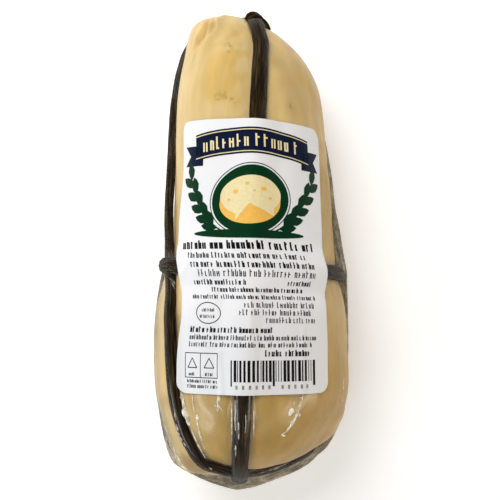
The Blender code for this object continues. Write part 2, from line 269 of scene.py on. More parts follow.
def turn_for_x(share, x):
    """Turn at which the top of a section reaches a sideways place."""
    _, half, shift, _ = profile(share).T
    ratio = (x - shift) / np.maximum(half, 0.01)
    return np.where(half < 0.01, 0.0, np.arcsin(np.clip(ratio, -0.98, 0.98)))


def girth_y(turn):
    """Place of the girth along Y."""
    return GIRTH_Y - GIRTH_SLANT * np.sin(turn)


def side_turns(share):
    """Turns of the side loop's left and right runs."""
    y = profile(share)[:, 0]
    left = np.radians(np.interp(y, *LEFT_RUN.T) - 90)
    right = np.radians(90 - np.interp(y, *RIGHT_RUN.T))
    return left, right


def lay(share, turn, lift):
    """Middle of the cord, laid on the cheese with a lift."""
    points = surface(share, turn)
    points = points + outward(points) * np.reshape(lift, (-1, 1))
    points[:, 2] = np.maximum(points[:, 2], CORD_FLOOR)
    return points


def foot_lift(share, crossing):
    """Lift of a lengthwise run, with another one where it meets the foot."""
    return CORD_LIFT + (crossing - CORD_LIFT) * bump(share, FOOT_REACH)


def girth_lift(turn):
    """Lift of the girth, which climbs over the side loop's two runs."""
    left, right = side_turns(share_at(girth_y(turn)))
    crossing = np.maximum(
        bump(np.degrees(turn - left), CROSSING_REACH),
        bump(np.degrees(turn - right), CROSSING_REACH),
    )
    return CORD_LIFT + (GIRTH_CROSSING - CORD_LIFT) * crossing


def front_loop():
    """Path of the loop down the front and back under the cheese."""
    share = np.linspace(1.0, 0.0, 400)
    y = profile(share)[:, 0]
    turn = turn_for_x(share, front_x(y))
    foot = foot_lift(share, FRONT_FOOT_LIFT)
    down = lay(share, turn, foot - GIRTH_DIP * bump(y - GIRTH_Y, GIRTH_DIP_REACH))
    up = lay(share, math.pi - turn, foot)[::-1]
    return np.vstack((down, up[1:]))


def side_loop():
    """Path of the loop down the left side, across the foot and up the right."""
    share = np.linspace(1.0, FOOT_CROSSING[0, 0], 340)
    waist = WAIST_LIFT * bump(profile(share)[:, 0] - WAIST_Y, WAIST_REACH)
    down = lay(share, side_turns(share)[0], CORD_LIFT + waist)
    marks = np.linspace(0, len(FOOT_CROSSING) - 1, 90)
    cross = np.column_stack([
        np.interp(marks, np.arange(len(FOOT_CROSSING)), column)
        for column in FOOT_CROSSING.T])
    across = lay(cross[:, 0], np.radians(cross[:, 1]), cross[:, 2])
    share = np.linspace(FOOT_CROSSING[-1, 0], 1.0, 340)
    up = lay(share, side_turns(share)[1], CORD_LIFT)
    return np.vstack((down, across[1:], up[1:]))


def girth_loop():
    """Path of the girth, from the back and round."""
    turn = np.linspace(-math.pi, math.pi, 400)
    return lay(share_at(girth_y(turn)), turn, girth_lift(turn))


def even(points, step):
    """Space the points of a path evenly."""
    lengths = np.linalg.norm(np.diff(points, axis=0), axis=1)
    marks = np.concatenate(([0.0], np.cumsum(lengths)))
    count = int(round(marks[-1] / step)) + 1
    wanted = np.linspace(0.0, marks[-1], count)
    return np.column_stack([np.interp(wanted, marks, points[:, k]) for k in range(3)])


def soften(points, rounds):
    """Smooth a path a little, keeping its ends."""
    for _ in range(rounds):
        middle = (points[:-2] + 2 * points[1:-1] + points[2:]) / 4
        points = np.vstack((points[:1], middle, points[-1:]))
    return points


# The knot: two wraps of cord on the rim of the head, each as its middle and
# two tilts in degrees, and one short tail.
KNOT_RINGS = (
    ((0.9, 91.6, 39.6), (52.0, -8.0)),
    ((1.9, 90.3, 40.6), (62.0, 24.0)),
)
TAIL_PATH = np.array((
    (2.4, 91.6, 40.6), (4.6, 90.9, 40.0), (6.2, 89.3, 39.0), (7.0, 87.4, 38.2)))


def knot_paths():
    """Wraps of the knot on the head, and its tail."""
    paths = []
    for middle, (tip_x, tip_z) in KNOT_RINGS:
        angle = np.linspace(0.0, math.tau * KNOT_TURNS, 48)
        flat = KNOT_RADIUS * np.column_stack(
            (np.cos(angle), np.sin(angle), 0 * angle))
        a, b = math.radians(tip_x), math.radians(tip_z)
        tip = np.array(((1, 0, 0), (0, math.cos(a), -math.sin(a)),
                        (0, math.sin(a), math.cos(a))))
        swing = np.array(((math.cos(b), -math.sin(b), 0),
                          (math.sin(b), math.cos(b), 0), (0, 0, 1)))
        paths.append(flat @ (swing @ tip).T + middle)
    paths.append(soften(even(TAIL_PATH, 0.5), 8))
    return paths


# Spacing of the points on the cord's loops, and of those that are searched
# for the nearest, from a little way outside the cheese.
LOOP_STEP = 1.0
SEARCH_STEP = 0.4
SEARCH_LIFT = 1.5
LOOPS = [
    soften(even(path, LOOP_STEP), 6)[:-1]
    for path in (front_loop(), side_loop(), girth_loop())]


def loop_search(loop):
    """Closely spaced points of a loop, and a tree that finds the nearest."""
    fine = even(np.vstack((loop, loop[:1])), SEARCH_STEP)
    tree = kdtree.KDTree(len(fine))
    for index, place in enumerate(fine):
        tree.insert(place, index)
    tree.balance()
    return fine, tree


SEARCHES = [loop_search(loop) for loop in LOOPS]


def cord_distance(points, directions):
    """Per loop: how far off to the side its middle runs, and how high."""
    found = []
    for fine, tree in SEARCHES:
        near = np.array([
            tree.find(place)[1] for place in points + directions * SEARCH_LIFT])
        gap = fine[near] - points
        height = np.einsum("ij,ij->i", gap, directions)
        aside = np.linalg.norm(gap - directions * height[:, None], axis=1)
        found.append((aside, height))
    return found


def line_distance(points, path):
    """Distance of points from a path."""
    fine = even(np.array(path), 0.5)
    gap = points[:, None, :] - fine[None, :, :]
    return np.sqrt((gap ** 2).sum(axis=2).min(axis=1))


def smooth_limit(values, limit, blend):
    """Keep values under a limit, rounding the corner between the two."""
    over = np.maximum(blend - np.abs(values - limit), 0.0)
    return np.minimum(values, limit) - over ** 2 / (4 * blend)


# ---------------------------------------------------------------- mesh help

def place_mesh(mesh, look=None):
    """Put a mesh in the scene as a smooth piece that bears its name."""
    piece = bpy.data.objects.new(mesh.name, mesh)
    bpy.context.scene.collection.objects.link(piece)
    if look:
        mesh.materials.append(look)
    if mesh.polygons:
        mesh.shade_smooth()
    return piece


def add_piece(name, points, faces, look):
    """Make a mesh piece from points in millimetres and give it a material."""
    mesh = bpy.data.meshes.new(name)
    mesh.from_pydata((points * MM).tolist(), [], faces)
    mesh.validate()
    return place_mesh(mesh, look)


def note(mesh, name, values):
    """Keep a number for each point of a mesh, for materials and node trees."""
    layer = mesh.attributes.new(name, "FLOAT", "POINT")
    layer.data.foreach_set("value", np.asarray(values, np.float32))


def grid_faces(rows, columns):
    """Quads of a grid of points."""
    faces = []
    for row in range(rows - 1):
        for column in range(columns - 1):
            at = row * columns + column
            faces.append((at, at + 1, at + columns + 1, at + columns))
    return faces


def skin_faces(rings, columns):
    """Faces of a closed skin: a pole, rings of points, and another pole."""
    faces = [(0, 1 + (k + 1) % columns, 1 + k) for k in range(columns)]
    for row in range(rings - 1):
        base = 1 + row * columns
        for column in range(columns):
            after = (column + 1) % columns
            faces.append((
                base + column, base + after,
                base + columns + after, base + columns + column))
    base = 1 + (rings - 1) * columns
    last = 1 + rings * columns
    faces += [(last, base + k, base + (k + 1) % columns) for k in range(columns)]
    return faces


def skin_grid(rings, columns):
    """Shares and turns of a closed skin's points, poles first and last."""
    shares = np.linspace(0.0, 1.0, rings + 2)[1:-1]
    turns = np.linspace(0.0, math.tau, columns, endpoint=False)
    share = np.concatenate(([0.0], np.repeat(shares, columns), [1.0]))
    turn = np.concatenate(([0.0], np.tile(turns, rings), [0.0]))
    return share, turn


# ---------------------------------------------------------------- materials

# Scales of the patterns, in repeats per metre: 1000 over their size in mm.
SMOKE_CLOUDS = 38.0     # clouds of smoke stain 26 mm across
FLECKS = 620.0          # flecks of 1.6 mm in the dull marks
STRETCH_LINES = 230.0   # lines 4.3 mm apart, ten times as long
PORES = 520.0           # pores 1.9 mm apart, coarser than real, to show
FIBRES = 1500.0         # fibres 0.7 mm wide, fourteen times as long
FILM_GRAIN = 260.0      # grain of 3.8 mm that the film takes from the rind
CREASE_BREAKS = 420.0   # breaks 2.4 mm long in the painted highlights of the folds
WELD_CRUSH = 620.0      # crushed film 1.6 mm wide and 7 mm long
PAPER_MOTTLE = 90.0     # soft mottle 11 mm across
INK_MOTTLE = 900.0      # mottle of 1.1 mm, coarser than print, to show
WHITE = linear("#ffffff")
# A Mix node's colours go by number, because their names are used twice over.
MIX_A, MIX_B = 6, 7


def add_node(tree, kind, inputs=None, **settings):
    """Add a node with its settings.

    An input is a value, another node's output, or a node, which stands for
    the first output that it has in use. A colour of three numbers is opaque.
    """
    made = tree.nodes.new(kind)
    for name, value in settings.items():
        setattr(made, name, value)
    for key, value in (inputs or {}).items():
        socket = made.inputs[key]
        if isinstance(value, bpy.types.Node):
            value = next(output for output in value.outputs if output.enabled)
        if isinstance(value, bpy.types.NodeSocket):
            tree.links.new(value, socket)
        elif socket.type == "RGBA":
            socket.default_value = (*value, 1.0)
        else:
            socket.default_value = value
    return made


def new_material(name):
    """Node material with an empty tree, and that tree."""
    look = bpy.data.materials.new(name)
    look.use_nodes = True
    look.node_tree.nodes.clear()
    return look, look.node_tree


def rind_material(settings):
    """Smoked stretched-curd rind, cooled and wiped: waxy, pale cream, stained
    gold where the smoke took, with fine pores and faint long stretch lines."""
    look, tree = new_material("smoked_curd_rind")
    place = add_node(tree, "ShaderNodeTexCoord").outputs["Object"]
    blotch = add_node(tree, "ShaderNodeTexNoise", {
        "Vector": place, "Scale": SMOKE_CLOUDS, "Detail": 3.0, "Roughness": 0.5})
    gold = add_node(tree, "ShaderNodeAttribute", attribute_name="gold")
    cloud = add_node(tree, "ShaderNodeMapRange", {
        "Value": blotch, "From Min": 0.45, "From Max": 0.75, "To Min": 0.0,
        "To Max": 0.4})
    stain = add_node(tree, "ShaderNodeMath", {
        0: gold.outputs["Fac"], 1: cloud}, operation="ADD", use_clamp=True)
    tone = add_node(tree, "ShaderNodeMix", {
        "Factor": stain, MIX_A: settings.rind, MIX_B: settings.smoke}, data_type="RGBA")
    fleck = add_node(tree, "ShaderNodeTexNoise", {
        "Vector": place, "Scale": FLECKS, "Detail": 2.0, "Roughness": 0.6})
    flecked = add_node(tree, "ShaderNodeMapRange", {
        "Value": fleck, "From Min": 0.42, "From Max": 0.62})
    # Tan is partly painted shade on the foot and the right flank; line is painted shade
    # in the head's creases and under the foot's swelling.
    for kind, colour, breaks in (
            ("tan", settings.tan, 1.0), ("amber", settings.amber, 1.0),
            ("mark", settings.speck, flecked), ("line", settings.fold, 1.0)):
        painted = add_node(tree, "ShaderNodeAttribute", attribute_name=kind)
        amount = add_node(tree, "ShaderNodeMath", {
            0: painted.outputs["Fac"], 1: breaks}, operation="MULTIPLY")
        tone = add_node(tree, "ShaderNodeMix", {
            "Factor": amount, MIX_A: tone, MIX_B: colour}, data_type="RGBA")
    drawn = add_node(tree, "ShaderNodeMapping", {
        "Vector": place, "Scale": (1.0, 0.1, 1.0)})
    streak = add_node(tree, "ShaderNodeTexNoise", {
        "Vector": drawn, "Scale": STRETCH_LINES, "Detail": 2.0})
    lines = add_node(tree, "ShaderNodeMapRange", {
        "Value": streak, "From Min": 0.3, "From Max": 0.7, "To Min": 0.9,
        "To Max": 1.08})
    tone = add_node(tree, "ShaderNodeMix", {
        "Factor": 1.0, MIX_A: tone, MIX_B: lines}, data_type="RGBA",
        blend_type="MULTIPLY")
    pores = add_node(tree, "ShaderNodeTexNoise", {
        "Vector": place, "Scale": PORES, "Detail": 3.0, "Roughness": 0.6})
    relief = add_node(tree, "ShaderNodeBump", {
        "Height": pores, "Strength": 0.4, "Distance": 0.0005})
    shader = add_node(tree, "ShaderNodeBsdfPrincipled", {
        "Base Color": tone, "Roughness": 0.5, "IOR": 1.45, "Specular IOR Level": 0.3,
        "Normal": relief})
    add_node(tree, "ShaderNodeOutputMaterial", {"Surface": shader})
    return look


def cord_material(settings):
    """Raffia-like cord smoked with the cheese: nearly black brown and matt,
    with paler worn fibres that run along it."""
    look, tree = new_material("smoked_fibre_cord")
    lay_of = add_node(tree, "ShaderNodeAttribute", attribute_name="fibre")
    drawn = add_node(tree, "ShaderNodeMapping", {
        "Vector": lay_of.outputs["Vector"], "Scale": (1.0, 1.0, 0.07)})
    fibres = add_node(tree, "ShaderNodeTexNoise", {
        "Vector": drawn, "Scale": FIBRES, "Detail": 3.0, "Roughness": 0.6})
    worn = add_node(tree, "ShaderNodeMapRange", {
        "Value": fibres, "From Min": 0.45, "From Max": 0.7})
    tone = add_node(tree, "ShaderNodeMix", {
        "Factor": worn, MIX_A: settings.smoked, MIX_B: settings.worn}, data_type="RGBA")
    relief = add_node(tree, "ShaderNodeBump", {
        "Height": fibres, "Strength": 0.7, "Distance": 0.0005})
    shader = add_node(tree, "ShaderNodeBsdfPrincipled", {
        "Base Color": tone, "Roughness": 0.78, "Specular IOR Level": 0.12,
        "Normal": relief})
    add_node(tree, "ShaderNodeOutputMaterial", {"Surface": shader})
    return look


def film_material(settings):
    """Clear shrunk polyamide film: it takes the rind's grain where it clings
    and greys a little where it stands off beside the cord, a milky grey that is
    partly painted shade of the hollow under it."""
    look, tree = new_material("clear_shrink_film")
    place = add_node(tree, "ShaderNodeTexCoord").outputs["Object"]
    grain = add_node(tree, "ShaderNodeTexNoise", {
        "Vector": place, "Scale": FILM_GRAIN, "Detail": 2.0})
    relief = add_node(tree, "ShaderNodeBump", {
        "Height": grain, "Strength": 0.12, "Distance": 0.0004})
    gloss = add_node(tree, "ShaderNodeBsdfGlossy", {
        "Color": WHITE, "Roughness": 0.25, "Normal": relief})
    clear = add_node(tree, "ShaderNodeBsdfTransparent", {"Color": settings.tint})
    milk_and_shade = add_node(tree, "ShaderNodeBsdfDiffuse", {"Color": settings.milk_and_shade})
    # Where the film stands off it greys: partly its milkiness, partly painted shade of
    # the hollow beside the cord.
    stand = add_node(tree, "ShaderNodeAttribute", attribute_name="stand")
    mist = add_node(tree, "ShaderNodeMapRange", {
        "Value": stand.outputs["Fac"], "From Min": 0.2, "From Max": 1.0, "To Min": 0.0,
        "To Max": settings.haze})
    body = add_node(tree, "ShaderNodeMixShader", {"Fac": mist, 1: clear, 2: milk_and_shade})
    facing = add_node(tree, "ShaderNodeLayerWeight", {"Blend": 0.5})
    edge = add_node(tree, "ShaderNodeMath", {
        0: facing.outputs["Facing"], 1: 5.0}, operation="POWER")
    shine = add_node(tree, "ShaderNodeMath", {
        0: edge, 1: settings.rim, 2: settings.shine}, operation="MULTIPLY_ADD")
    mixed = add_node(tree, "ShaderNodeMixShader", {"Fac": shine, 1: body, 2: gloss})
    add_node(tree, "ShaderNodeOutputMaterial", {"Surface": mixed})
    return look


def crease_material(settings):
    """Film folded hard, with a painted highlight along the fold: broken where it
    lies flat again, and bright with real gloss where it turns to a lamp."""
    look, tree = new_material("whitened_film_crease")
    place = add_node(tree, "ShaderNodeTexCoord").outputs["Object"]
    broken = add_node(tree, "ShaderNodeTexNoise", {
        "Vector": place, "Scale": CREASE_BREAKS, "Detail": 3.0, "Roughness": 0.6})
    shown = add_node(tree, "ShaderNodeMapRange", {
        "Value": broken, "From Min": 0.38, "From Max": 0.58, "To Min": 0.15,
        "To Max": 1.0})
    strength = add_node(tree, "ShaderNodeAttribute", attribute_name="strength")
    cover = add_node(tree, "ShaderNodeMath", {
        0: shown, 1: strength.outputs["Fac"]}, operation="MULTIPLY", use_clamp=True)
    # The white is a painted highlight along the crease.
    white = add_node(tree, "ShaderNodeBsdfDiffuse", {"Color": settings.crease})
    gloss = add_node(tree, "ShaderNodeBsdfGlossy", {"Roughness": 0.15})
    lit = add_node(tree, "ShaderNodeMixShader", {"Fac": 0.1, 1: white, 2: gloss})
    clear = add_node(tree, "ShaderNodeBsdfTransparent")
    mixed = add_node(tree, "ShaderNodeMixShader", {"Fac": cover, 1: clear, 2: lit})
    add_node(tree, "ShaderNodeOutputMaterial", {"Surface": mixed})
    return look


def hem_material(settings):
    """Crimped heat seal, two films welded: milky grey-brown and half clear. It is
    lighter on the right, painted light against the cheese's shadow there, darker
    towards the waist as painted shade, and brighter in crushed patches as painted
    glints."""
    look, tree = new_material("crimped_seal_film")
    place = add_node(tree, "ShaderNodeTexCoord").outputs["Object"]
    weld = add_node(tree, "ShaderNodeAttribute", attribute_name="weld")
    drawn = add_node(tree, "ShaderNodeMapping", {
        "Vector": weld.outputs["Vector"], "Scale": (0.22, 1.0, 1.0)})
    crush = add_node(tree, "ShaderNodeTexNoise", {
        "Vector": drawn, "Scale": WELD_CRUSH, "Detail": 4.0, "Roughness": 0.75})
    parts = add_node(tree, "ShaderNodeSeparateXYZ", {"Vector": place})
    # Lighter on the right: painted light against the cheese's shadow on that side.
    side = add_node(tree, "ShaderNodeMapRange", {
        "Value": parts.outputs["X"], "From Min": -0.026, "From Max": 0.01})
    ground = add_node(tree, "ShaderNodeMix", {
        "Factor": side, MIX_A: settings.hem_left, MIX_B: settings.hem_right},
        data_type="RGBA")
    # Crushed film, darker and lighter in patches, brightened up to nearly twice as
    # painted glints.
    crush_and_glints = add_node(tree, "ShaderNodeMapRange", {
        "Value": crush, "From Min": 0.42, "From Max": 0.62, "To Min": 0.66,
        "To Max": 1.9})
    # Darker towards the waist: painted shade.
    rise = add_node(tree, "ShaderNodeMapRange", {
        "Value": parts.outputs["Y"], "From Min": -0.045, "From Max": -0.01,
        "To Min": 1.0, "To Max": 0.62})
    shade = add_node(tree, "ShaderNodeMath", {0: crush_and_glints, 1: rise}, operation="MULTIPLY")
    tone = add_node(tree, "ShaderNodeMix", {
        "Factor": 1.0, MIX_A: ground, MIX_B: shade}, data_type="RGBA",
        blend_type="MULTIPLY")
    cover = add_node(tree, "ShaderNodeMapRange", {
        "Value": crush, "From Min": 0.3, "From Max": 0.7, "To Min": 0.82,
        "To Max": 0.97})
    relief = add_node(tree, "ShaderNodeBump", {
        "Height": crush, "Strength": 1.0, "Distance": 0.0008})
    shader = add_node(tree, "ShaderNodeBsdfPrincipled", {
        "Base Color": tone, "Roughness": 0.22, "Normal": relief, "Alpha": cover})
    add_node(tree, "ShaderNodeOutputMaterial", {"Surface": shader})
    return look


def paper_material(settings):
    """Coated label paper: smooth satin white with a faint cool mottle."""
    look, tree = new_material("coated_label_paper")
    place = add_node(tree, "ShaderNodeTexCoord").outputs["Object"]
    pulp = add_node(tree, "ShaderNodeTexNoise", {
        "Vector": place, "Scale": PAPER_MOTTLE, "Detail": 4.0})
    tone = add_node(tree, "ShaderNodeMix", {
        "Factor": pulp, MIX_A: settings.paper, MIX_B: settings.paper_shade},
        data_type="RGBA")
    relief = add_node(tree, "ShaderNodeBump", {
        "Height": pulp, "Strength": 0.12, "Distance": 0.0008})
    shader = add_node(tree, "ShaderNodeBsdfPrincipled", {
        "Base Color": tone, "Roughness": 0.45, "IOR": 1.45, "Normal": relief})
    add_node(tree, "ShaderNodeOutputMaterial", {"Surface": shader})
    return look


def ink_material(name, colour):
    """Offset printing ink on coated paper: even, with a slight satin shine."""
    look, tree = new_material(name)
    place = add_node(tree, "ShaderNodeTexCoord").outputs["Object"]
    dots = add_node(tree, "ShaderNodeTexNoise", {"Vector": place, "Scale": INK_MOTTLE})
    wear = add_node(tree, "ShaderNodeMapRange", {
        "Value": dots, "To Min": 0.88, "To Max": 1.12})
    tone = add_node(tree, "ShaderNodeMix", {
        "Factor": 1.0, MIX_A: colour, MIX_B: wear}, data_type="RGBA",
        blend_type="MULTIPLY")
    shader = add_node(tree, "ShaderNodeBsdfPrincipled", {
        "Base Color": tone, "Roughness": 0.42, "Specular IOR Level": 0.2})
    add_node(tree, "ShaderNodeOutputMaterial", {"Surface": shader})
    return look


def floor_material(settings):
    """Opal acrylic table top: matt white, lit a little from below."""
    look, tree = new_material("opal_acrylic_table")
    shader = add_node(tree, "ShaderNodeBsdfPrincipled", {
        "Base Color": settings.floor, "Roughness": 0.9, "Specular IOR Level": 0.2,
        "Emission Color": WHITE, "Emission Strength": settings.below})
    add_node(tree, "ShaderNodeOutputMaterial", {"Surface": shader})
    return look


# ---------------------------------------------------------------- settings

class CheeseSettings(bpy.types.PropertyGroup):
    """Sizes and colours of the cheese."""
    rind: bpy.props.FloatVectorProperty(
        name="Rind", description="Colour of the pale rind", subtype="COLOR",
        size=3, min=0, max=1, default=linear("#d6ba80"))
    smoke: bpy.props.FloatVectorProperty(
        name="Smoke", description="Colour where the smoke has stained the rind",
        subtype="COLOR", size=3, min=0, max=1, default=linear("#cdaa60"))
    # Partly the rind's duller tone, partly painted shade on the foot and down the right
    # flank.
    tan: bpy.props.FloatVectorProperty(
        name="Tan", description="Duller colour of the rind towards the foot",
        subtype="COLOR", size=3, min=0, max=1, default=linear("#b39048"))
    amber: bpy.props.FloatVectorProperty(
        name="Amber", description="Colour of the smoked folds and rims",
        subtype="COLOR", size=3, min=0, max=1, default=linear("#d9ab60"))
    speck: bpy.props.FloatVectorProperty(
        name="Speck", description="Colour of the small dull marks",
        subtype="COLOR", size=3, min=0, max=1, default=linear("#9b8342"))
    # Painted shade: the dark brown laid deep in the head's creases and under the foot's
    # swelling.
    fold: bpy.props.FloatVectorProperty(
        name="Fold", description="Colour deep in the folds of the head",
        subtype="COLOR", size=3, min=0, max=1, default=linear("#a07d48"))
    lumps: bpy.props.FloatProperty(
        name="Lumps", description="Height of the soft unevenness",
        default=0.00035, unit="LENGTH", min=0, max=0.002, precision=5)
    squeeze: bpy.props.FloatProperty(
        name="Squeeze", description="How deep the cord draws the rind in",
        default=0.0008, unit="LENGTH", min=0, max=0.003, precision=5)


class CordSettings(bpy.types.PropertyGroup):
    """Sizes and colours of the cord."""
    width: bpy.props.FloatProperty(
        name="Width", description="Width of the cord where it lies flattest",
        default=2 * CORD_HALF_WIDTH * MM, unit="LENGTH", min=0.002, max=0.01,
        precision=4)
    thickness: bpy.props.FloatProperty(
        name="Thickness", description="Thickness of the cord there",
        default=2 * CORD_HALF_THICKNESS * MM, unit="LENGTH", min=0.001, max=0.01,
        precision=4)
    strands: bpy.props.IntProperty(
        name="Strands", description="Strands seen round the cord",
        default=9, min=3, max=16)
    twist: bpy.props.FloatProperty(
        name="Twist", description="Length of one full twist of the strands",
        default=0.3, unit="LENGTH", min=0.01, max=1.0)
    groove: bpy.props.FloatProperty(
        name="Groove", description="Depth between strands, as a share of the size",
        default=0.1, min=0.0, max=0.5)
    unevenness: bpy.props.FloatProperty(
        name="Unevenness", description="Change of size along the cord, as a share",
        default=0.22, min=0.0, max=0.6)
    smoked: bpy.props.FloatVectorProperty(
        name="Smoked", description="Colour of the smoked cord", subtype="COLOR",
        size=3, min=0, max=1, default=linear("#181006"))
    worn: bpy.props.FloatVectorProperty(
        name="Worn", description="Colour of its paler fibres", subtype="COLOR",
        size=3, min=0, max=1, default=linear("#4a3b1e"))


class FilmSettings(bpy.types.PropertyGroup):
    """Sizes and colours of the film and its hem."""
    slope: bpy.props.FloatProperty(
        name="Slope", description="Angle at which the film leaves the cord",
        default=math.radians(50), subtype="ANGLE", min=0.3, max=1.3)
    rim: bpy.props.FloatProperty(
        name="Rim", description="Shine of the film seen edge on",
        default=0.07, min=0.0, max=0.96)
    shine: bpy.props.FloatProperty(
        name="Shine", description="Shine of the film seen straight on",
        default=0.028, min=0.0, max=0.2)
    haze: bpy.props.FloatProperty(
        name="Haze", description="Greyness of the film beside the cord",
        default=0.42, min=0.0, max=1.0)
    # Painted highlight: the white that the creases show in place of lamp glints.
    crease: bpy.props.FloatVectorProperty(
        name="Crease", description="Colour of the whitened creases",
        subtype="COLOR", size=3, min=0, max=1, default=linear("#f6f1e0"))
    crimp: bpy.props.FloatProperty(
        name="Crimp", description="Distance between the pleats of the hem",
        default=0.0016, unit="LENGTH", min=0.0005, max=0.01, precision=4)
    pleat: bpy.props.FloatProperty(
        name="Pleat", description="Height of the pleats of the hem",
        default=0.00016, unit="LENGTH", min=0.0, max=0.002, precision=5)
    hem_depth: bpy.props.FloatProperty(
        name="Hem depth", description="How far in the hem reaches",
        default=0.012, unit="LENGTH", min=0.002, max=0.03)
    wander: bpy.props.FloatProperty(
        name="Wander", description="How far the hem's edge rises and falls",
        default=0.004, unit="LENGTH", min=0.0, max=0.01)
    weld: bpy.props.FloatProperty(
        name="Weld", description="Thickness of the two films together",
        default=0.0002, unit="LENGTH", min=0.00005, max=0.001, precision=5)
    tint: bpy.props.FloatVectorProperty(
        name="Tint", description="What the film lets through", subtype="COLOR",
        size=3, min=0, max=1, default=linear("#fcfcfc"))
    # Partly the film's milkiness, partly painted shade of the hollow under it.
    milk_and_shade: bpy.props.FloatVectorProperty(
        name="Milk", description="Colour of film that stands off", subtype="COLOR",
        size=3, min=0, max=1, default=linear("#9b9688"))
    # The right is lighter than the left as painted light, against the cheese's shadow
    # on that side.
    hem_left: bpy.props.FloatVectorProperty(
        name="Hem left", description="Colour of the hem on the left",
        subtype="COLOR", size=3, min=0, max=1, default=linear("#a39a87"))
    hem_right: bpy.props.FloatVectorProperty(
        name="Hem right", description="Colour of the hem on the right",
        subtype="COLOR", size=3, min=0, max=1, default=linear("#b0a690"))


class LabelSettings(bpy.types.PropertyGroup):
    """Sizes and colours of the label and its print."""
    thickness: bpy.props.FloatProperty(
        name="Thickness", description="Thickness of the paper",
        default=0.00022, unit="LENGTH", min=0.00005, max=0.001, precision=5)
    corner: bpy.props.FloatProperty(
        name="Corner", description="Radius of the paper's corners",
        default=0.0042, unit="LENGTH", min=0.0, max=0.01, precision=4)
    paper: bpy.props.FloatVectorProperty(
        name="Paper", description="Colour of the paper", subtype="COLOR",
        size=3, min=0, max=1, default=linear("#e4e2e1"))
    paper_shade: bpy.props.FloatVectorProperty(
        name="Paper shade", description="Cooler tone in the paper",
        subtype="COLOR", size=3, min=0, max=1, default=linear("#dadbde"))
    navy: bpy.props.FloatVectorProperty(
        name="Navy", description="Dark blue ink", subtype="COLOR",
        size=3, min=0, max=1, default=linear("#07142f"))
    green: bpy.props.FloatVectorProperty(
        name="Green", description="Dark green ink", subtype="COLOR",
        size=3, min=0, max=1, default=linear("#023018"))
    yellow: bpy.props.FloatVectorProperty(
        name="Yellow", description="Yellow ink", subtype="COLOR",
        size=3, min=0, max=1, default=linear("#e3b154"))
    cream: bpy.props.FloatVectorProperty(
        name="Cream", description="Cream ink", subtype="COLOR",
        size=3, min=0, max=1, default=linear("#dfcf9f"))
    black: bpy.props.FloatVectorProperty(
        name="Black", description="Black ink", subtype="COLOR",
        size=3, min=0, max=1, default=linear("#0c0c0e"))


class StageSettings(bpy.types.PropertyGroup):
    """Floor, light and camera."""
    floor: bpy.props.FloatVectorProperty(
        name="Floor", description="Colour of the floor", subtype="COLOR",
        size=3, min=0, max=1, default=linear("#f6f6f6"))
    below: bpy.props.FloatProperty(
        name="From below", description="Glow of the table top",
        default=0.27, min=0.0, max=2.0)
    key: bpy.props.FloatProperty(
        name="Key light", description="Power of the main light",
        default=2.25, min=0.0, max=200.0, unit="POWER")
    window: bpy.props.FloatProperty(
        name="Window", description="Power of the low light on the left",
        default=1.4, min=0.0, max=200.0, unit="POWER")
    warm: bpy.props.FloatProperty(
        name="Warm", description="Power of the warm light on the right",
        default=1.35, min=0.0, max=200.0, unit="POWER")
    horizon: bpy.props.FloatProperty(
        name="Horizon", description="Brightness of the room round the table",
        default=0.6, min=0.0, max=5.0)
    zenith: bpy.props.FloatProperty(
        name="Zenith", description="Brightness of the room overhead",
        default=0.08, min=0.0, max=5.0)
    distance: bpy.props.FloatProperty(
        name="Distance", description="Camera to the middle of the cheese",
        default=0.35, unit="LENGTH", min=0.1, max=3.0)


# ---------------------------------------------------------------- the cheese

# Folds of the head and a swelling of the foot: height, width and the path
# each follows. A fold of less than no height is a crease.
FOLDS = (
    (1.0, 2.4, ((-18.1, 88.3, 42.7), (-19.1, 85.9, 43.2), (-20.7, 82.7, 42.8))),
    (-0.9, 1.0, ((-16.8, 89.1, 42.9), (-17.6, 86.2, 44.1), (-19.0, 83.2, 44.3),
                 (-21.0, 80.7, 43.1))),
    (0.6, 1.3, ((-15.8, 88.4, 44.0), (-15.8, 86.4, 45.2))),
    (-0.9, 0.9, ((-14.9, 89.4, 43.6), (-14.5, 86.6, 45.9), (-15.6, 84.2, 46.3))),
    (0.8, 1.5, ((-13.0, 89.9, 43.6), (-12.9, 86.5, 46.4), (-14.6, 83.4, 47.0),
                (-17.0, 81.0, 46.3))),
    (0.5, 1.6, ((-10.6, 92.0, 40.6), (-11.8, 90.2, 43.6))),
    (-0.35, 0.8, ((-21.4, 80.5, 42.8), (-23.1, 77.6, 41.7), (-24.8, 74.6, 40.2))),
    (-0.3, 0.8, ((-20.9, 79.4, 43.6), (-22.2, 76.2, 43.4), (-23.0, 73.0, 43.2))),
    (0.3, 1.4, ((-15.5, 79.0, 48.2), (-9.5, 79.3, 50.0), (-4.5, 78.4, 51.2))),
    (-0.3, 0.9, ((-9.6, 77.6, 51.0), (-8.4, 77.8, 51.2), (-7.0, 76.4, 51.9))),
    (-0.3, 0.8, ((15.0, 53.2, 53.2), (15.4, 52.4, 53.1))),
    (-0.25, 0.8, ((17.0, 56.6, 51.3), (17.1, 55.8, 51.4))),
    (2.3, 6.6, ((32.0, -66.0, 37.0), (29.5, -70.5, 37.0))),
)
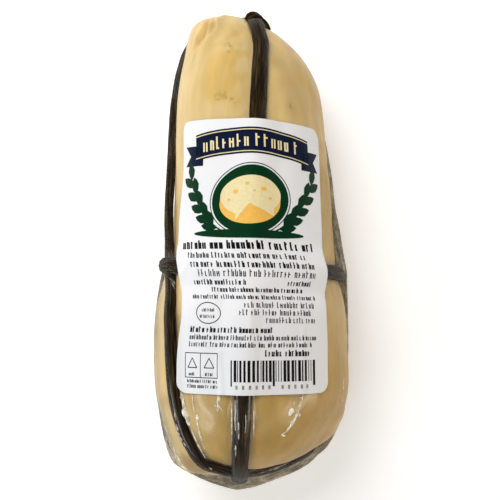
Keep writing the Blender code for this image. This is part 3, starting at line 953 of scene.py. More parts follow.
# Stains of the rind, and shade painted among them: which, strength, reach and
# the path each follows. Tan is partly painted shade; line is painted shade but
# for a brown patch low on the foot.
STAINS = (
    ("gold", 0.8, 7.6, ((-11.6, 70.2, 52.5), (-12.0, 65.4, 53.8),
                        (-12.4, 59.8, 54.8))),
    ("gold", 0.95, 3.8, ((-8.4, 73.4, 52.5), (-8.2, 69.6, 53.8))),
    ("gold", 0.7, 3.4, ((18.6, 69.9, 45.4), (21.4, 65.1, 44.9), (25.0, 59.9, 41.8),
                        (28.3, 53.0, 36.9), (30.5, 40.0, 34.0))),
    ("amber", 0.45, 2.9, ((-18.1, 88.3, 42.7), (-19.1, 85.9, 43.2),
                         (-20.7, 82.7, 42.8), (-22.4, 79.4, 41.7))),
    ("amber", 0.55, 1.7, ((9.7, 81.8, 45.2), (11.9, 78.9, 45.9), (13.9, 75.5, 46.6))),
    ("amber", 0.4, 3.0, ((13.3, 83.5, 38.8), (19.0, 78.5, 36.5), (24.0, 70.5, 34.0))),
    ("amber", 0.35, 1.6, ((-11.0, 92.0, 40.0), (-12.6, 91.4, 41.0))),
    # Darker brown low on the foot: a brown patch at its left, and painted shade under
    # the swelling on its right.
    ("line", 1.0, 3.4, ((-23.4, -82.4, 45.0), (-19.6, -85.6, 43.6),
                        (-14.0, -88.0, 42.0))),
    ("line", 0.5, 6.0, ((31.0, -62.0, 42.0), (24.0, -76.0, 46.0), (8.0, -88.0, 46.0))),
    ("mark", 0.8, 1.5, ((-9.4, 77.4, 51.2), (-8.4, 77.6, 51.2), (-7.0, 76.6, 51.8))),
    ("mark", 0.7, 1.2, ((-9.0, 74.4, 52.0), (-8.8, 73.8, 52.2))),
    ("mark", 0.6, 1.4, ((-13.4, 55.3, 54.6), (-10.0, 56.6, 55.8), (-7.1, 54.3, 57.0))),
    ("mark", 0.5, 1.0, ((15.0, 53.2, 53.2), (15.4, 52.4, 53.1))),
    ("mark", 0.4, 1.4, ((11.0, -66.0, 66.0), (14.0, -63.0, 65.0))),
    # Duller tan: partly the rind's own tone, partly painted shade on the foot and down
    # the right flank.
    ("tan", 1.0, 30.0, ((16.0, -92.0, 40.0), (12.0, -74.0, 56.0), (30.0, -46.0, 45.0))),
    ("tan", 0.9, 16.0, ((30.0, -46.0, 45.0), (33.0, -10.0, 42.0), (32.0, 26.0, 40.0))),
    ("tan", 0.85, 22.0, ((-8.0, -88.0, 46.0), (-6.0, -66.0, 62.0))),
    ("tan", 0.6, 7.0, ((-30.0, 15.0, 44.0), (-27.0, 0.0, 48.0))),
    ("tan", 0.45, 14.0, ((20.0, 66.0, 44.0), (28.0, 20.0, 44.0))),
    # Painted shade deep in the creases of the head.
    ("line", 0.45, 0.8, ((-16.6, 89.3, 42.9), (-17.4, 86.2, 44.2),
                         (-18.8, 83.2, 44.4), (-20.6, 80.9, 43.4))),
    ("line", 0.35, 0.8, ((-14.9, 89.4, 43.6), (-14.5, 86.6, 45.9))),
    ("line", 0.15, 1.4, ((-16.0, 89.0, 43.6), (-15.4, 85.6, 45.6))),
)


# The rind's own shape, and the groove that the cord has drawn in it.
RIND_INSET = 0.2
DIMPLES = 0.07
SQUEEZE_REACH = 4.4
CORD_PLAY = 0.05
GROOVE_SLOPE = 1.5
GROOVE_REACH = 9.0
GROOVE_DEPTH = 4.0
GROOVE_BLEND = 0.2
NO_LIMIT = 9.0
# Rings and columns of the fine skins, and the floor they stay above.
SKIN_RINGS = 320
SKIN_COLUMNS = 300
RIND_FLOOR = 0.25
FILM_FLOOR = 0.02


def cord_sizes():
    """Half width and half thickness of each loop, in millimetres."""
    settings = bpy.context.scene.provola_cord
    half = settings.width / MM / 2, settings.thickness / MM / 2
    return [(half[0] * wide, half[1] * thick) for wide, thick in LOOP_SHARES]


def folds(base):
    """Height of the folds of the head and of the swelling of the foot."""
    total = np.zeros(len(base))
    for height, reach, path in FOLDS:
        total += height * np.exp(-(line_distance(base, path) / reach) ** 2)
    return total


def rind_offset(base, near):
    """How far the bare rind lies outside the plain form."""
    settings = bpy.context.scene.provola_cheese
    offset = -RIND_INSET + settings.lumps / MM * waves(base, 26.0, 3, (1, 1.6, 1))
    offset += DIMPLES * waves(base, 7.0, 4, (1, 1.8, 1)) + folds(base)
    for (aside, height), (wide, thick) in zip(near, cord_sizes()):
        offset -= settings.squeeze / MM * np.exp(-(aside / SQUEEZE_REACH) ** 2)
        wide, thick = wide + CORD_PLAY, thick + CORD_PLAY
        inside = np.sqrt(np.maximum(1 - (aside / wide) ** 2, 0))
        wall = height + GROOVE_SLOPE * np.maximum(aside - wide, 0)
        limit = np.where(inside > 0, height - thick * inside, wall)
        limit = np.where(
            aside < GROOVE_REACH, np.maximum(limit, -GROOVE_DEPTH), NO_LIMIT)
        offset = smooth_limit(offset, limit, GROOVE_BLEND)
    return offset


class PROVOLA_OT_cheese(bpy.types.Operator):
    """Model the bare cheese with the grooves that the cord has drawn in"""
    bl_idname = "provola.cheese"
    bl_label = "Cheese"

    def execute(self, context):
        """Offset a fine skin by lumps, grooves and folds, and stain it, with some
        painted shade among the stains.
        """
        base = surface(*skin_grid(SKIN_RINGS, SKIN_COLUMNS))
        away = outward(base)
        offset = rind_offset(base, cord_distance(base, away))
        points = base + away * offset[:, None]
        points[:, 2] = np.maximum(points[:, 2], RIND_FLOOR)
        piece = add_piece("cheese", points, skin_faces(SKIN_RINGS, SKIN_COLUMNS),
                          rind_material(context.scene.provola_cheese))
        totals = {"gold": 0.0, "amber": 0.0, "mark": 0.0, "tan": 0.0, "line": 0.0}
        ragged = 1 + 0.25 * waves(base, 9.0, 17)
        for kind, strength, reach, path in STAINS:
            near = line_distance(base, path) * ragged
            sharp = 4 if kind == "gold" else 2
            totals[kind] = np.maximum(
                totals[kind], strength * np.exp(-(near / reach) ** sharp))
        for kind, values in totals.items():
            note(piece.data, kind, np.clip(values, 0.0, 1.0))
        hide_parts("vacuum_bag")
        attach(piece, "root")
        return {"FINISHED"}


# ---------------------------------------------------------------- what is swept

def carrier_of(name, runs):
    """Mesh of bare lines that carries what a sweep needs at each point.

    A run is its points, the directions out of the cheese, half widths, half
    thicknesses, whether it closes on itself, and how strongly it shows.
    """
    edges = []
    start = 0
    for path, _, _, _, closed, _ in runs:
        count = len(path)
        edges += [(start + k, start + k + 1) for k in range(count - 1)]
        if closed:
            edges.append((start + count - 1, start))
        start += count
    paths, ways, wide, thick, _, strength = zip(*runs)
    mesh = bpy.data.meshes.new(name)
    mesh.from_pydata((np.vstack(paths) * MM).tolist(), edges, [])
    out = mesh.attributes.new("out", "FLOAT_VECTOR", "POINT")
    out.data.foreach_set("vector", np.vstack(ways).ravel())
    note(mesh, "wide", np.concatenate(wide) * MM)
    note(mesh, "thick", np.concatenate(thick) * MM)
    note(mesh, "strength", np.repeat(strength, [len(path) for path in paths]))
    return place_mesh(mesh)


def new_tree(name, inputs):
    """Geometry Nodes with named inputs that give one piece, and its inputs."""
    tree = bpy.data.node_groups.new(name, "GeometryNodeTree")
    for title, kind in inputs:
        tree.interface.new_socket(
            title, in_out="INPUT", socket_type="NodeSocket" + kind)
    tree.interface.new_socket(
        "Piece", in_out="OUTPUT", socket_type="NodeSocketGeometry")
    return tree, add_node(tree, "NodeGroupInput").outputs


def sweep_lines(tree, runs, strip, along_runs, along_strip, capped):
    """Sweep a strip along the edges of a mesh, keeping fields of both.

    Gives the swept mesh and what was kept of the runs and of the strip.
    """
    lines = add_node(tree, "GeometryNodeMeshToCurve", {"Mesh": runs})
    kept = []
    for curve, fields in ((lines, along_runs), (strip, along_strip)):
        capture = add_node(tree, "GeometryNodeCaptureAttribute", {"Geometry": curve})
        for title, kind, value in fields:
            capture.capture_items.new(kind, title)
            tree.links.new(value, capture.inputs[title])
        kept.append(capture.outputs)
    swept = add_node(tree, "GeometryNodeCurveToMesh", {
        "Curve": kept[0]["Geometry"], "Profile Curve": kept[1]["Geometry"],
        "Fill Caps": capped})
    return swept.outputs["Mesh"], kept[0], kept[1]


def finish_tree(tree, mesh, title, value, look):
    """Keep a vector for the material, make the mesh real and give its look."""
    stored = add_node(tree, "GeometryNodeStoreNamedAttribute", {
        "Geometry": mesh, "Name": title, "Value": value}, data_type="FLOAT_VECTOR")
    real = add_node(tree, "GeometryNodeRealizeInstances", {"Geometry": stored})
    dressed = add_node(tree, "GeometryNodeSetMaterial", {
        "Geometry": real, "Material": look})
    add_node(tree, "NodeGroupOutput", {"Piece": dressed})
    return tree


def sweep_tree(name, look):
    """Geometry Nodes that sweep a flattened, fluted, uneven round along runs."""
    tree, given = new_tree(name, (
        ("Runs", "Geometry"), ("Points round", "Int"), ("Strands", "Int"),
        ("Groove", "Float"), ("Twist", "Float"), ("Unevenness", "Float"),
        ("Lump scale", "Float")))
    spot = add_node(tree, "GeometryNodeInputPosition").outputs["Position"]
    heading = add_node(tree, "GeometryNodeInputTangent").outputs["Tangent"]
    share = add_node(tree, "GeometryNodeSplineParameter").outputs
    length = add_node(tree, "GeometryNodeSplineLength").outputs["Length"]
    count = add_node(tree, "ShaderNodeMath", {
        0: length, 1: given["Twist"]}, operation="DIVIDE")
    whole = add_node(tree, "ShaderNodeMath", {0: count}, operation="ROUND")
    turned = add_node(tree, "ShaderNodeMath", {
        0: whole, 1: share["Factor"]}, operation="MULTIPLY")
    circle = add_node(tree, "GeometryNodeCurvePrimitiveCircle", {
        "Resolution": given["Points round"], "Radius": MM})
    swept, run, ring = sweep_lines(
        tree, given["Runs"], circle,
        (("Middle", "VECTOR", spot), ("Heading", "VECTOR", heading),
         ("Along", "FLOAT", share["Length"]), ("Turned", "FLOAT", turned.outputs[0])),
        (("Around", "FLOAT", share["Factor"]),), True)

    out, wide, thick = (
        add_node(tree, "GeometryNodeInputNamedAttribute", {"Name": title},
                 data_type=kind).outputs["Attribute"]
        for title, kind in (
            ("out", "FLOAT_VECTOR"), ("wide", "FLOAT"), ("thick", "FLOAT")))
    across = add_node(tree, "ShaderNodeVectorMath", {
        0: run["Heading"], 1: out}, operation="CROSS_PRODUCT")
    side = add_node(tree, "ShaderNodeVectorMath", {0: across}, operation="NORMALIZE")
    upward = add_node(tree, "ShaderNodeVectorMath", {
        0: side, 1: run["Heading"]}, operation="CROSS_PRODUCT")
    angle = add_node(tree, "ShaderNodeMath", {
        0: ring["Around"], 1: math.tau}, operation="MULTIPLY")
    cosine = add_node(tree, "ShaderNodeMath", {0: angle}, operation="COSINE")
    sine = add_node(tree, "ShaderNodeMath", {0: angle}, operation="SINE")

    phase = add_node(tree, "ShaderNodeMath", {
        0: ring["Around"], 1: given["Strands"], 2: run["Turned"]},
        operation="MULTIPLY_ADD")
    half = add_node(tree, "ShaderNodeMath", {
        0: phase, 1: math.pi}, operation="MULTIPLY")
    wave = add_node(tree, "ShaderNodeMath", {0: half}, operation="SINE")
    flute = add_node(tree, "ShaderNodeMath", {0: wave}, operation="ABSOLUTE")
    dip = add_node(tree, "ShaderNodeMath", {0: flute, 1: 1.0}, operation="SUBTRACT")
    carved = add_node(tree, "ShaderNodeMath", {
        0: dip, 1: given["Groove"]}, operation="MULTIPLY")
    lumps = add_node(tree, "ShaderNodeTexNoise", {
        "Vector": run["Middle"], "Scale": given["Lump scale"], "Detail": 2.0})
    level = add_node(tree, "ShaderNodeMath", {0: lumps, 1: 0.5}, operation="SUBTRACT")
    uneven = add_node(tree, "ShaderNodeMath", {
        0: level, 1: given["Unevenness"], 2: carved}, operation="MULTIPLY_ADD")
    size = add_node(tree, "ShaderNodeMath", {0: uneven, 1: 1.0}, operation="ADD")

    place = run["Middle"]
    fibre_parts = []
    for direction, turn, half_size in (
            (side, cosine, wide), (upward, sine, thick)):
        reach = add_node(tree, "ShaderNodeMath", {
            0: turn, 1: half_size}, operation="MULTIPLY")
        fibre_parts.append(reach)
        sized = add_node(tree, "ShaderNodeMath", {
            0: reach, 1: size}, operation="MULTIPLY")
        step = add_node(tree, "ShaderNodeVectorMath", {
            0: direction, "Scale": sized}, operation="SCALE")
        moved = add_node(tree, "ShaderNodeVectorMath", {
            0: place, 1: step}, operation="ADD")
        place = moved
    formed = add_node(tree, "GeometryNodeSetPosition", {
        "Geometry": swept, "Position": place})
    fibre = add_node(tree, "ShaderNodeCombineXYZ", {
        "X": fibre_parts[0], "Y": fibre_parts[1], "Z": run["Along"]})
    return finish_tree(tree, formed, "fibre", fibre, look)


def mesh_from_nodes(name, carrier, tree, values):
    """Run a node tree on an object and keep the result as a plain mesh."""
    modifier = carrier.modifiers.new("Nodes", "NODES")
    modifier.node_group = tree
    for item in tree.interface.items_tree:
        if item.item_type == "SOCKET" and item.name in values:
            modifier[item.identifier] = values[item.name]
    graph = bpy.context.evaluated_depsgraph_get()
    mesh = bpy.data.meshes.new_from_object(carrier.evaluated_get(graph))
    mesh.name = name
    bpy.data.objects.remove(carrier)
    if not mesh.polygons:
        raise RuntimeError(name + " came out empty")
    work = bmesh.new()
    work.from_mesh(mesh)
    bmesh.ops.recalc_face_normals(work, faces=work.faces)
    work.to_mesh(mesh)
    work.free()
    return place_mesh(mesh)


# The knot's middle, and the half widths of its wraps and tail and how flat
# they are.
KNOT_MIDDLE = (1.4, 90.99, 40.1)
KNOT_HALF_WIDTHS = (1.75, 1.65, 1.3)
KNOT_FLATNESS = 0.9
# Points round the swept cord, its lumps per metre, and how low it may reach.
CORD_POINTS_ROUND = 54
CORD_LUMPS = 130.0
CORD_BOTTOM = 0.0001


class PROVOLA_OT_cord(bpy.types.Operator):
    """Lay the cord along its loops, its knot and its tail"""
    bl_idname = "provola.cord"
    bl_label = "Cord"

    def execute(self, context):
        """Sweep fluted strands along every run of the cord."""
        settings = context.scene.provola_cord
        runs = []
        for loop, (wide, thick) in zip(LOOPS, cord_sizes()):
            full = np.ones(len(loop))
            runs.append((loop, outward(loop), wide * full, thick * full, True, 1.0))
        *wraps, tail = knot_paths()
        ways = [path - KNOT_MIDDLE for path in wraps] + [outward(tail)]
        for path, away, half in zip((*wraps, tail), ways, KNOT_HALF_WIDTHS):
            away = away / np.linalg.norm(away, axis=1)[:, None]
            wide = np.full(len(path), half)
            runs.append((path, away, wide, wide * KNOT_FLATNESS, False, 1.0))
        piece = mesh_from_nodes(
            "cord_tied", carrier_of("cord_runs", runs),
            sweep_tree("fluted_cord", cord_material(settings)), {
                "Points round": CORD_POINTS_ROUND, "Strands": settings.strands,
                "Groove": settings.groove, "Twist": settings.twist,
                "Unevenness": settings.unevenness, "Lump scale": CORD_LUMPS})
        for vertex in piece.data.vertices:
            vertex.co.z = max(vertex.co.z, CORD_BOTTOM)
        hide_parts("cord")
        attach(piece, "root")
        return {"FINISHED"}


# ---------------------------------------------------------------- the film

# How the film lies over the rind and tents over the cord.
FILM_GAP = 0.16
CORD_GAP = 0.2
TENT_REACH = 14.0
TENT_BLEND = 0.3
NO_TENT = -5.0
FOOT_SLACK = 0.2
# Where it stands off and greys, each as where that starts and where it is full.
FOOT_TENTS = (-42.0, -62.0)
LEFT_TENTS = (-10.0, -20.0)
LEFT_SIDE = -20.0
WEB_X = (-25.0, -33.0)
WEB_Z = (18.0, 30.0)
WEB_MIDDLE, WEB_SPREAD = 36.0, 13.0
# Where it lies clear again: beside the cord, right of the foot and at its tip.
CLEAR_OF_CORD = (0.5, 1.9)
CLEAR_RIGHT = (-6.0, -2.0)
CLEAR_BELOW = (-68.0, -74.0)
CLEAR_TIP = (-90.0, -85.0)


def film_offset(base, near):
    """Height of the film over the plain form, and how far it stands off.

    It clings to the rind and tents over the cords, widest at the foot.
    """
    x, y, z = base.T
    rind = rind_offset(base, near)
    height = rind + FILM_GAP
    free = np.ones(len(base))
    foot = ramp(y, *FOOT_TENTS)
    slope = bpy.context.scene.provola_film.slope - FOOT_SLACK * foot
    fall = np.tan(slope) * (1 + 0.25 * waves(base, 18.0, 8))
    for (aside, lift), (wide, thick) in zip(near, cord_sizes()):
        half, tall = wide + CORD_GAP, thick + CORD_GAP
        angle = np.arctan2(tall, half * fall)
        touch, leave = half * np.cos(angle), tall * np.sin(angle)
        top = lift + tall * np.sqrt(np.maximum(1 - (aside / half) ** 2, 0.0))
        tent = lift + leave - fall * (aside - touch)
        cover = np.where(aside < touch, top, tent)
        cover = np.where(aside < TENT_REACH, cover, NO_TENT)
        height = -smooth_limit(-height, -cover, TENT_BLEND)
        free *= ramp(aside - wide, *CLEAR_OF_CORD)
    left = ramp(y, *LEFT_TENTS)
    web = ramp(x, *WEB_X) * ramp(z, *WEB_Z)
    web *= np.exp(-((z - WEB_MIDDLE) / WEB_SPREAD) ** 2)
    web *= 1 + 0.3 * waves(base, 15.0, 21, (1, 2.5, 1))
    foot *= 1 - ramp(x, *CLEAR_RIGHT) * ramp(y, *CLEAR_BELOW)
    foot *= ramp(y, *CLEAR_TIP)
    stand = (height - rind) * np.maximum(foot, left * (x < LEFT_SIDE))
    stand = np.maximum(stand, left * web)
    return height, stand * free


# Points round a swept crease, and how its path is spaced and smoothed.
CREASE_POINTS_ROUND = 14
CREASE_STEP = 0.35
CREASE_ROUNDS = 4
# Points across the hem, and how its outline is spaced and smoothed.
HEM_POINTS_ACROSS = 16
HEM_STEP = 0.3
HEM_ROUNDS = 30
# Noise of the hem, in repeats per metre: where its pleats are crushed, and how
# its edge wanders.
HEM_CRUSH = 420.0
HEM_WANDER = 45.0
# Creases of the film near the foot, seen from above: half width, height, how
# strongly its painted highlight shows and the path each follows. Each stands as
# a fine ridge.
CREASES = (
    (0.36, 0.26, 0.9, ((-21.4, -54.6), (-21.0, -59.7), (-19.9, -63.4), (-19.4, -66.7),
                       (-18.5, -70.8), (-17.1, -75.6))),
    (0.6, 0.4, 1.8, ((-19.7, -62.4), (-19.3, -64.4))),
    (0.5, 0.3, 0.7, ((-11.4, -54.0), (-11.6, -57.2), (-12.0, -60.8))),
    (0.3, 0.26, 0.6, ((-13.3, -57.9), (-12.1, -59.8))),
    (0.3, 0.26, 0.6, ((-10.3, -60.6), (-11.3, -58.9))),
    (1.0, 0.42, 0.9, ((-25.5, -54.5), (-24.4, -60.8), (-22.7, -67.0))),
    (0.32, 0.28, 0.8, ((-22.6, -66.0), (-21.2, -70.4), (-19.1, -74.9),
                       (-16.8, -79.0))),
    (0.42, 0.32, 1.1, ((18.6, -54.0), (18.4, -56.4), (17.5, -58.8), (16.8, -61.8),
                       (15.6, -64.6), (14.1, -66.9), (12.4, -68.7), (11.2, -69.6))),
    (0.5, 0.34, 1.5, ((15.4, -64.2), (14.2, -66.8))),
    (0.5, 0.36, 1.3, ((11.0, -69.3), (11.9, -70.6), (12.4, -69.9))),
    (0.45, 0.34, 0.9, ((15.6, -57.2), (15.0, -58.8))),
    (0.85, 0.45, 2.2, ((14.9, -59.9), (13.8, -62.6))),
    (0.34, 0.3, 0.8, ((17.7, -61.8), (17.3, -63.4))),
    (0.34, 0.3, 0.9, ((17.4, -56.3), (18.9, -55.4), (20.4, -56.0))),
    (0.26, 0.28, 0.8, ((-5.7, -56.4), (-5.6, -60.8), (-5.7, -63.9), (-5.6, -67.6))),
    (0.24, 0.26, 0.6, ((-4.5, -64.2), (-4.4, -68.5), (-4.5, -71.0))),
    (0.22, 0.26, 0.5, ((-2.0, -61.6), (-1.8, -65.1), (-2.2, -68.4))),
    (0.24, 0.26, 0.6, ((-5.6, -73.0), (-5.6, -77.6))),
    (0.26, 0.26, 0.8, ((-6.9, -57.6), (-6.9, -65.0), (-6.9, -73.0))),
    (0.22, 0.26, 0.7, ((0.9, -58.6), (1.0, -62.7), (0.9, -66.7), (1.0, -70.2))),
    (0.24, 0.28, 0.7, ((-27.6, -66.4), (-26.9, -69.0))),
    (0.24, 0.28, 0.8, ((-27.2, -69.5), (-26.3, -70.9))),
    (0.24, 0.28, 0.7, ((-26.3, -71.3), (-25.4, -72.7))),
    (0.22, 0.26, 0.6, ((-25.0, -73.2), (-24.0, -74.6))),
    (0.22, 0.26, 0.5, ((-28.3, -60.6), (-27.7, -65.0))),
    (0.2, 0.24, 0.5, ((2.1, -86.6), (4.4, -86.2), (6.3, -85.8), (8.8, -85.1),
                      (11.6, -84.2), (14.2, -83.2))),
    (0.26, 0.28, 0.8, ((-15.6, -82.4), (-14.4, -83.2))),
    (0.3, 0.28, 1.0, ((-28.4, -79.6), (-27.6, -81.9), (-26.0, -83.4))),
    (0.45, 0.3, 0.9, ((-29.6, -77.0), (-28.6, -80.6), (-29.4, -82.0))),
    (0.5, 0.3, 0.8, ((-26.9, -84.0), (-24.4, -85.2))),
    (0.4, 0.3, 0.7, ((-31.6, -74.6), (-30.8, -78.4))),
    (0.3, 0.26, 0.6, ((-33.4, -64.0), (-32.7, -69.4), (-31.1, -74.0))),
    (0.24, 0.24, 0.45, ((-31.0, -12.4), (-29.6, -13.2), (-28.4, -15.0))),
    (0.2, 0.24, 0.35, ((-30.4, -13.8), (-29.4, -14.6), (-28.6, -16.6))),
    (0.4, 0.26, 0.5, ((34.6, -50.0), (34.8, -56.0), (34.2, -61.0))),
)


def crease_runs(film):
    """Find the film under each crease and lay a tapering ridge along it."""
    corners = [vertex.co / MM for vertex in film.vertices]
    tree = bvhtree.BVHTree.FromPolygons(
        corners, [tuple(face.vertices) for face in film.polygons])
    overhead, down = 90.0, Vector((0.0, 0.0, -1.0))
    runs = []
    for wide, high, strength, path in CREASES:
        flat = np.column_stack((np.array(path), np.zeros(len(path))))
        flat = soften(even(flat, CREASE_STEP), CREASE_ROUNDS)
        points, ways = [], []
        for x, y, _ in flat:
            hit, way, _, _ = tree.ray_cast(Vector((x, y, overhead)), down)
            if hit is not None:
                points.append(hit)
                ways.append(way if way.z > 0 else -way)
        if len(points) < 4:
            raise RuntimeError("a crease misses the film")
        taper = np.sin(np.linspace(0.08, math.pi - 0.08, len(points))) ** 0.5
        points = np.array(points)
        broken = 1 + 0.25 * waves(points, 3.0, 31)
        runs.append((
            soften(points, CREASE_ROUNDS), np.array(ways),
            wide * taper * broken, high * taper * broken, False, strength))
    return runs


class PROVOLA_OT_film(bpy.types.Operator):
    """Shrink the clear film over the cheese and the cord"""
    bl_idname = "provola.film"
    bl_label = "Film"

    def execute(self, context):
        """Offset a fine skin to clear the cheese, and crease it at the foot."""
        settings = context.scene.provola_film
        base = surface(*skin_grid(SKIN_RINGS, SKIN_COLUMNS))
        away = outward(base)
        height, stand = film_offset(base, cord_distance(base, away))
        points = base + away * height[:, None]
        points[:, 2] = np.maximum(points[:, 2], FILM_FLOOR)
        piece = add_piece("film", points, skin_faces(SKIN_RINGS, SKIN_COLUMNS),
                          film_material(settings))
        note(piece.data, "stand", stand)
        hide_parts("vacuum_bag")
        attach(piece, "root")
        ridges = mesh_from_nodes(
            "film_creases", carrier_of("crease_runs", crease_runs(piece.data)),
            sweep_tree("film_ridge", crease_material(settings)), {
                "Points round": CREASE_POINTS_ROUND, "Strands": 0, "Groove": 0.0,
                "Twist": 1.0, "Unevenness": 0.0, "Lump scale": CORD_LUMPS})
        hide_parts("vacuum_bag")
        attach(ridges, "root")
        return {"FINISHED"}


def hem_tree(look):
    """Geometry Nodes that sweep a crimped strip of film inwards from a line."""
    tree, given = new_tree("crimped_hem", (
        ("Outline", "Geometry"), ("Depth", "Float"), ("Crimp", "Float"),
        ("Pleat height", "Float"), ("Wander", "Float"), ("Crush scale", "Float"),
        ("Wander scale", "Float")))
    spot = add_node(tree, "GeometryNodeInputPosition").outputs["Position"]
    share = add_node(tree, "GeometryNodeSplineParameter").outputs
    strip = add_node(tree, "GeometryNodeCurvePrimitiveLine", {"End": (0.01, 0.0, 0.0)})
    steps = add_node(tree, "GeometryNodeResampleCurve", {
        "Curve": strip, "Count": HEM_POINTS_ACROSS})
    swept, run, ring = sweep_lines(
        tree, given["Outline"], steps,
        (("Edge", "VECTOR", spot), ("Along", "FLOAT", share["Length"])),
        (("Inward", "FLOAT", share["Factor"]),), False)
    out = add_node(tree, "GeometryNodeInputNamedAttribute", {"Name": "out"},
                   data_type="FLOAT_VECTOR").outputs["Attribute"]
    depth = add_node(tree, "ShaderNodeMath", {
        0: ring["Inward"], 1: given["Depth"]}, operation="MULTIPLY")
    back = add_node(tree, "ShaderNodeMath", {0: depth, 1: -1.0}, operation="MULTIPLY")
    moved = add_node(tree, "ShaderNodeVectorMath", {
        0: out, "Scale": back}, operation="SCALE")
    flat = add_node(tree, "ShaderNodeVectorMath", {
        0: run["Edge"], 1: moved}, operation="ADD")
    pleats = add_node(tree, "ShaderNodeMath", {
        0: run["Along"], 1: given["Crimp"]}, operation="DIVIDE")
    phase = add_node(tree, "ShaderNodeMath", {
        0: pleats, 1: math.tau}, operation="MULTIPLY")
    wave = add_node(tree, "ShaderNodeMath", {0: phase}, operation="SINE")
    crushed = add_node(tree, "ShaderNodeTexNoise", {
        "Vector": spot, "Scale": given["Crush scale"], "Detail": 1.0})
    strength = add_node(tree, "ShaderNodeMath", {
        0: crushed, 1: given["Pleat height"]}, operation="MULTIPLY")
    pleat = add_node(tree, "ShaderNodeMath", {
        0: wave, 1: strength}, operation="MULTIPLY")
    drift = add_node(tree, "ShaderNodeTexNoise", {
        "Vector": run["Edge"], "Scale": given["Wander scale"], "Detail": 2.0})
    level = add_node(tree, "ShaderNodeMath", {0: drift, 1: 0.5}, operation="SUBTRACT")
    free = add_node(tree, "ShaderNodeMath", {
        0: 1.0, 1: ring["Inward"]}, operation="SUBTRACT")
    roam = add_node(tree, "ShaderNodeMath", {
        0: level, 1: given["Wander"]}, operation="MULTIPLY")
    loose = add_node(tree, "ShaderNodeMath", {
        0: roam, 1: free, 2: pleat}, operation="MULTIPLY_ADD")
    lift = add_node(tree, "ShaderNodeCombineXYZ", {"Z": loose})
    formed = add_node(tree, "GeometryNodeSetPosition", {
        "Geometry": swept, "Position": flat, "Offset": lift})
    weld = add_node(tree, "ShaderNodeCombineXYZ", {"X": run["Along"], "Y": depth})
    return finish_tree(tree, formed, "weld", weld, look)


class PROVOLA_OT_hem(bpy.types.Operator):
    """Crimp the welded hem of film round the foot"""
    bl_idname = "provola.hem"
    bl_label = "Hem"

    def execute(self, context):
        """Sweep a crimped strip along the outline of the hem."""
        settings = context.scene.provola_film
        flat = np.column_stack((
            HEM_OUTLINE, np.full(len(HEM_OUTLINE), HEM_HEIGHT)))
        outer = soften(even(flat, HEM_STEP), HEM_ROUNDS)
        tangent = np.gradient(outer, axis=0)
        away = np.column_stack((tangent[:, 1], -tangent[:, 0], 0 * outer[:, 0]))
        away /= np.linalg.norm(away, axis=1)[:, None]
        if np.einsum("ij,ij->i", away, outer - outer.mean(axis=0)).mean() < 0:
            away = -away
        ones = np.ones(len(outer))
        carrier = carrier_of("hem_outline", [(outer, away, ones, ones, False, 1.0)])
        piece = mesh_from_nodes(
            "hem", carrier, hem_tree(hem_material(settings)), {
                "Depth": settings.hem_depth, "Crimp": settings.crimp,
                "Pleat height": settings.pleat, "Wander": settings.wander,
                "Crush scale": HEM_CRUSH, "Wander scale": HEM_WANDER})
        shell = piece.modifiers.new("Weld", "SOLIDIFY")
        shell.thickness = settings.weld
        shell.offset = 0.0
        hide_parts("vacuum_bag")
        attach(piece, "root")
        return {"FINISHED"}


# ---------------------------------------------------------------- the label

# How far the label's edges shift sideways: place along it, left and right.
LABEL_EDGES = np.array((
    (-52.0, 0.2, -1.2), (-44.0, 0.3, -1.3), (-38.0, 0.4, -1.2),
    (-32.0, 1.0, -1.1), (-24.0, 2.2, -1.3), (-17.0, 1.7, -1.3),
    (-14.0, 1.1, -2.2), (-11.0, 0.4, -1.6), (-6.0, -0.4, -0.7),
    (0.0, -2.0, -2.2), (5.0, -4.2, -2.2), (12.0, -4.2, -1.4),
    (20.0, -2.4, -0.9), (30.0, -0.2, -0.4), (38.0, 0.4, 0.2),
    (52.0, 0.6, 0.2)))
EDGE_ROUNDS = 25
# Heights of the paper, low and over a cord, and how far beside the front
# cord, the girth and the left run it is held up.
LABEL_LOW = 0.5
LABEL_RIDGE = 2.95
LABEL_TENTS = (11.0, 11.0, 8.0)
LABEL_GAP = 0.4
# The table of places on the label: its step, how far it reaches, and at how
# many turns each row is measured.
TABLE_STEP = 0.5
TABLE_ALONG = 54.0
TABLE_ACROSS = 36.0
TABLE_TURN = 1.9
TABLE_TURN_COUNT = 381
# Ridges in the paper: height, half width, and ends as across and along.
LABEL_RIDGES = (
    (0.35, 1.3, (-1.4, -16.0), (-1.8, -32.0)),
    (0.45, 1.2, (-13.6, -36.0), (-12.4, -52.0)),
    (0.4, 1.1, (19.4, -27.0), (19.2, -52.0)),
    (-0.3, 1.4, (2.8, -18.0), (2.4, -50.0)),
    (0.3, 1.0, (-22.0, 0.0), (-30.0, -8.0)),
)


def segment_distance(u, v, start, end):
    """Distance of places on the label from a straight line on it."""
    start, end = np.array(start), np.array(end)
    way = end - start
    t = np.clip(((u - start[0]) * way[0] + (v - start[1]) * way[1]) / (way @ way), 0, 1)
    return np.hypot(u - start[0] - t * way[0], v - start[1] - t * way[1])


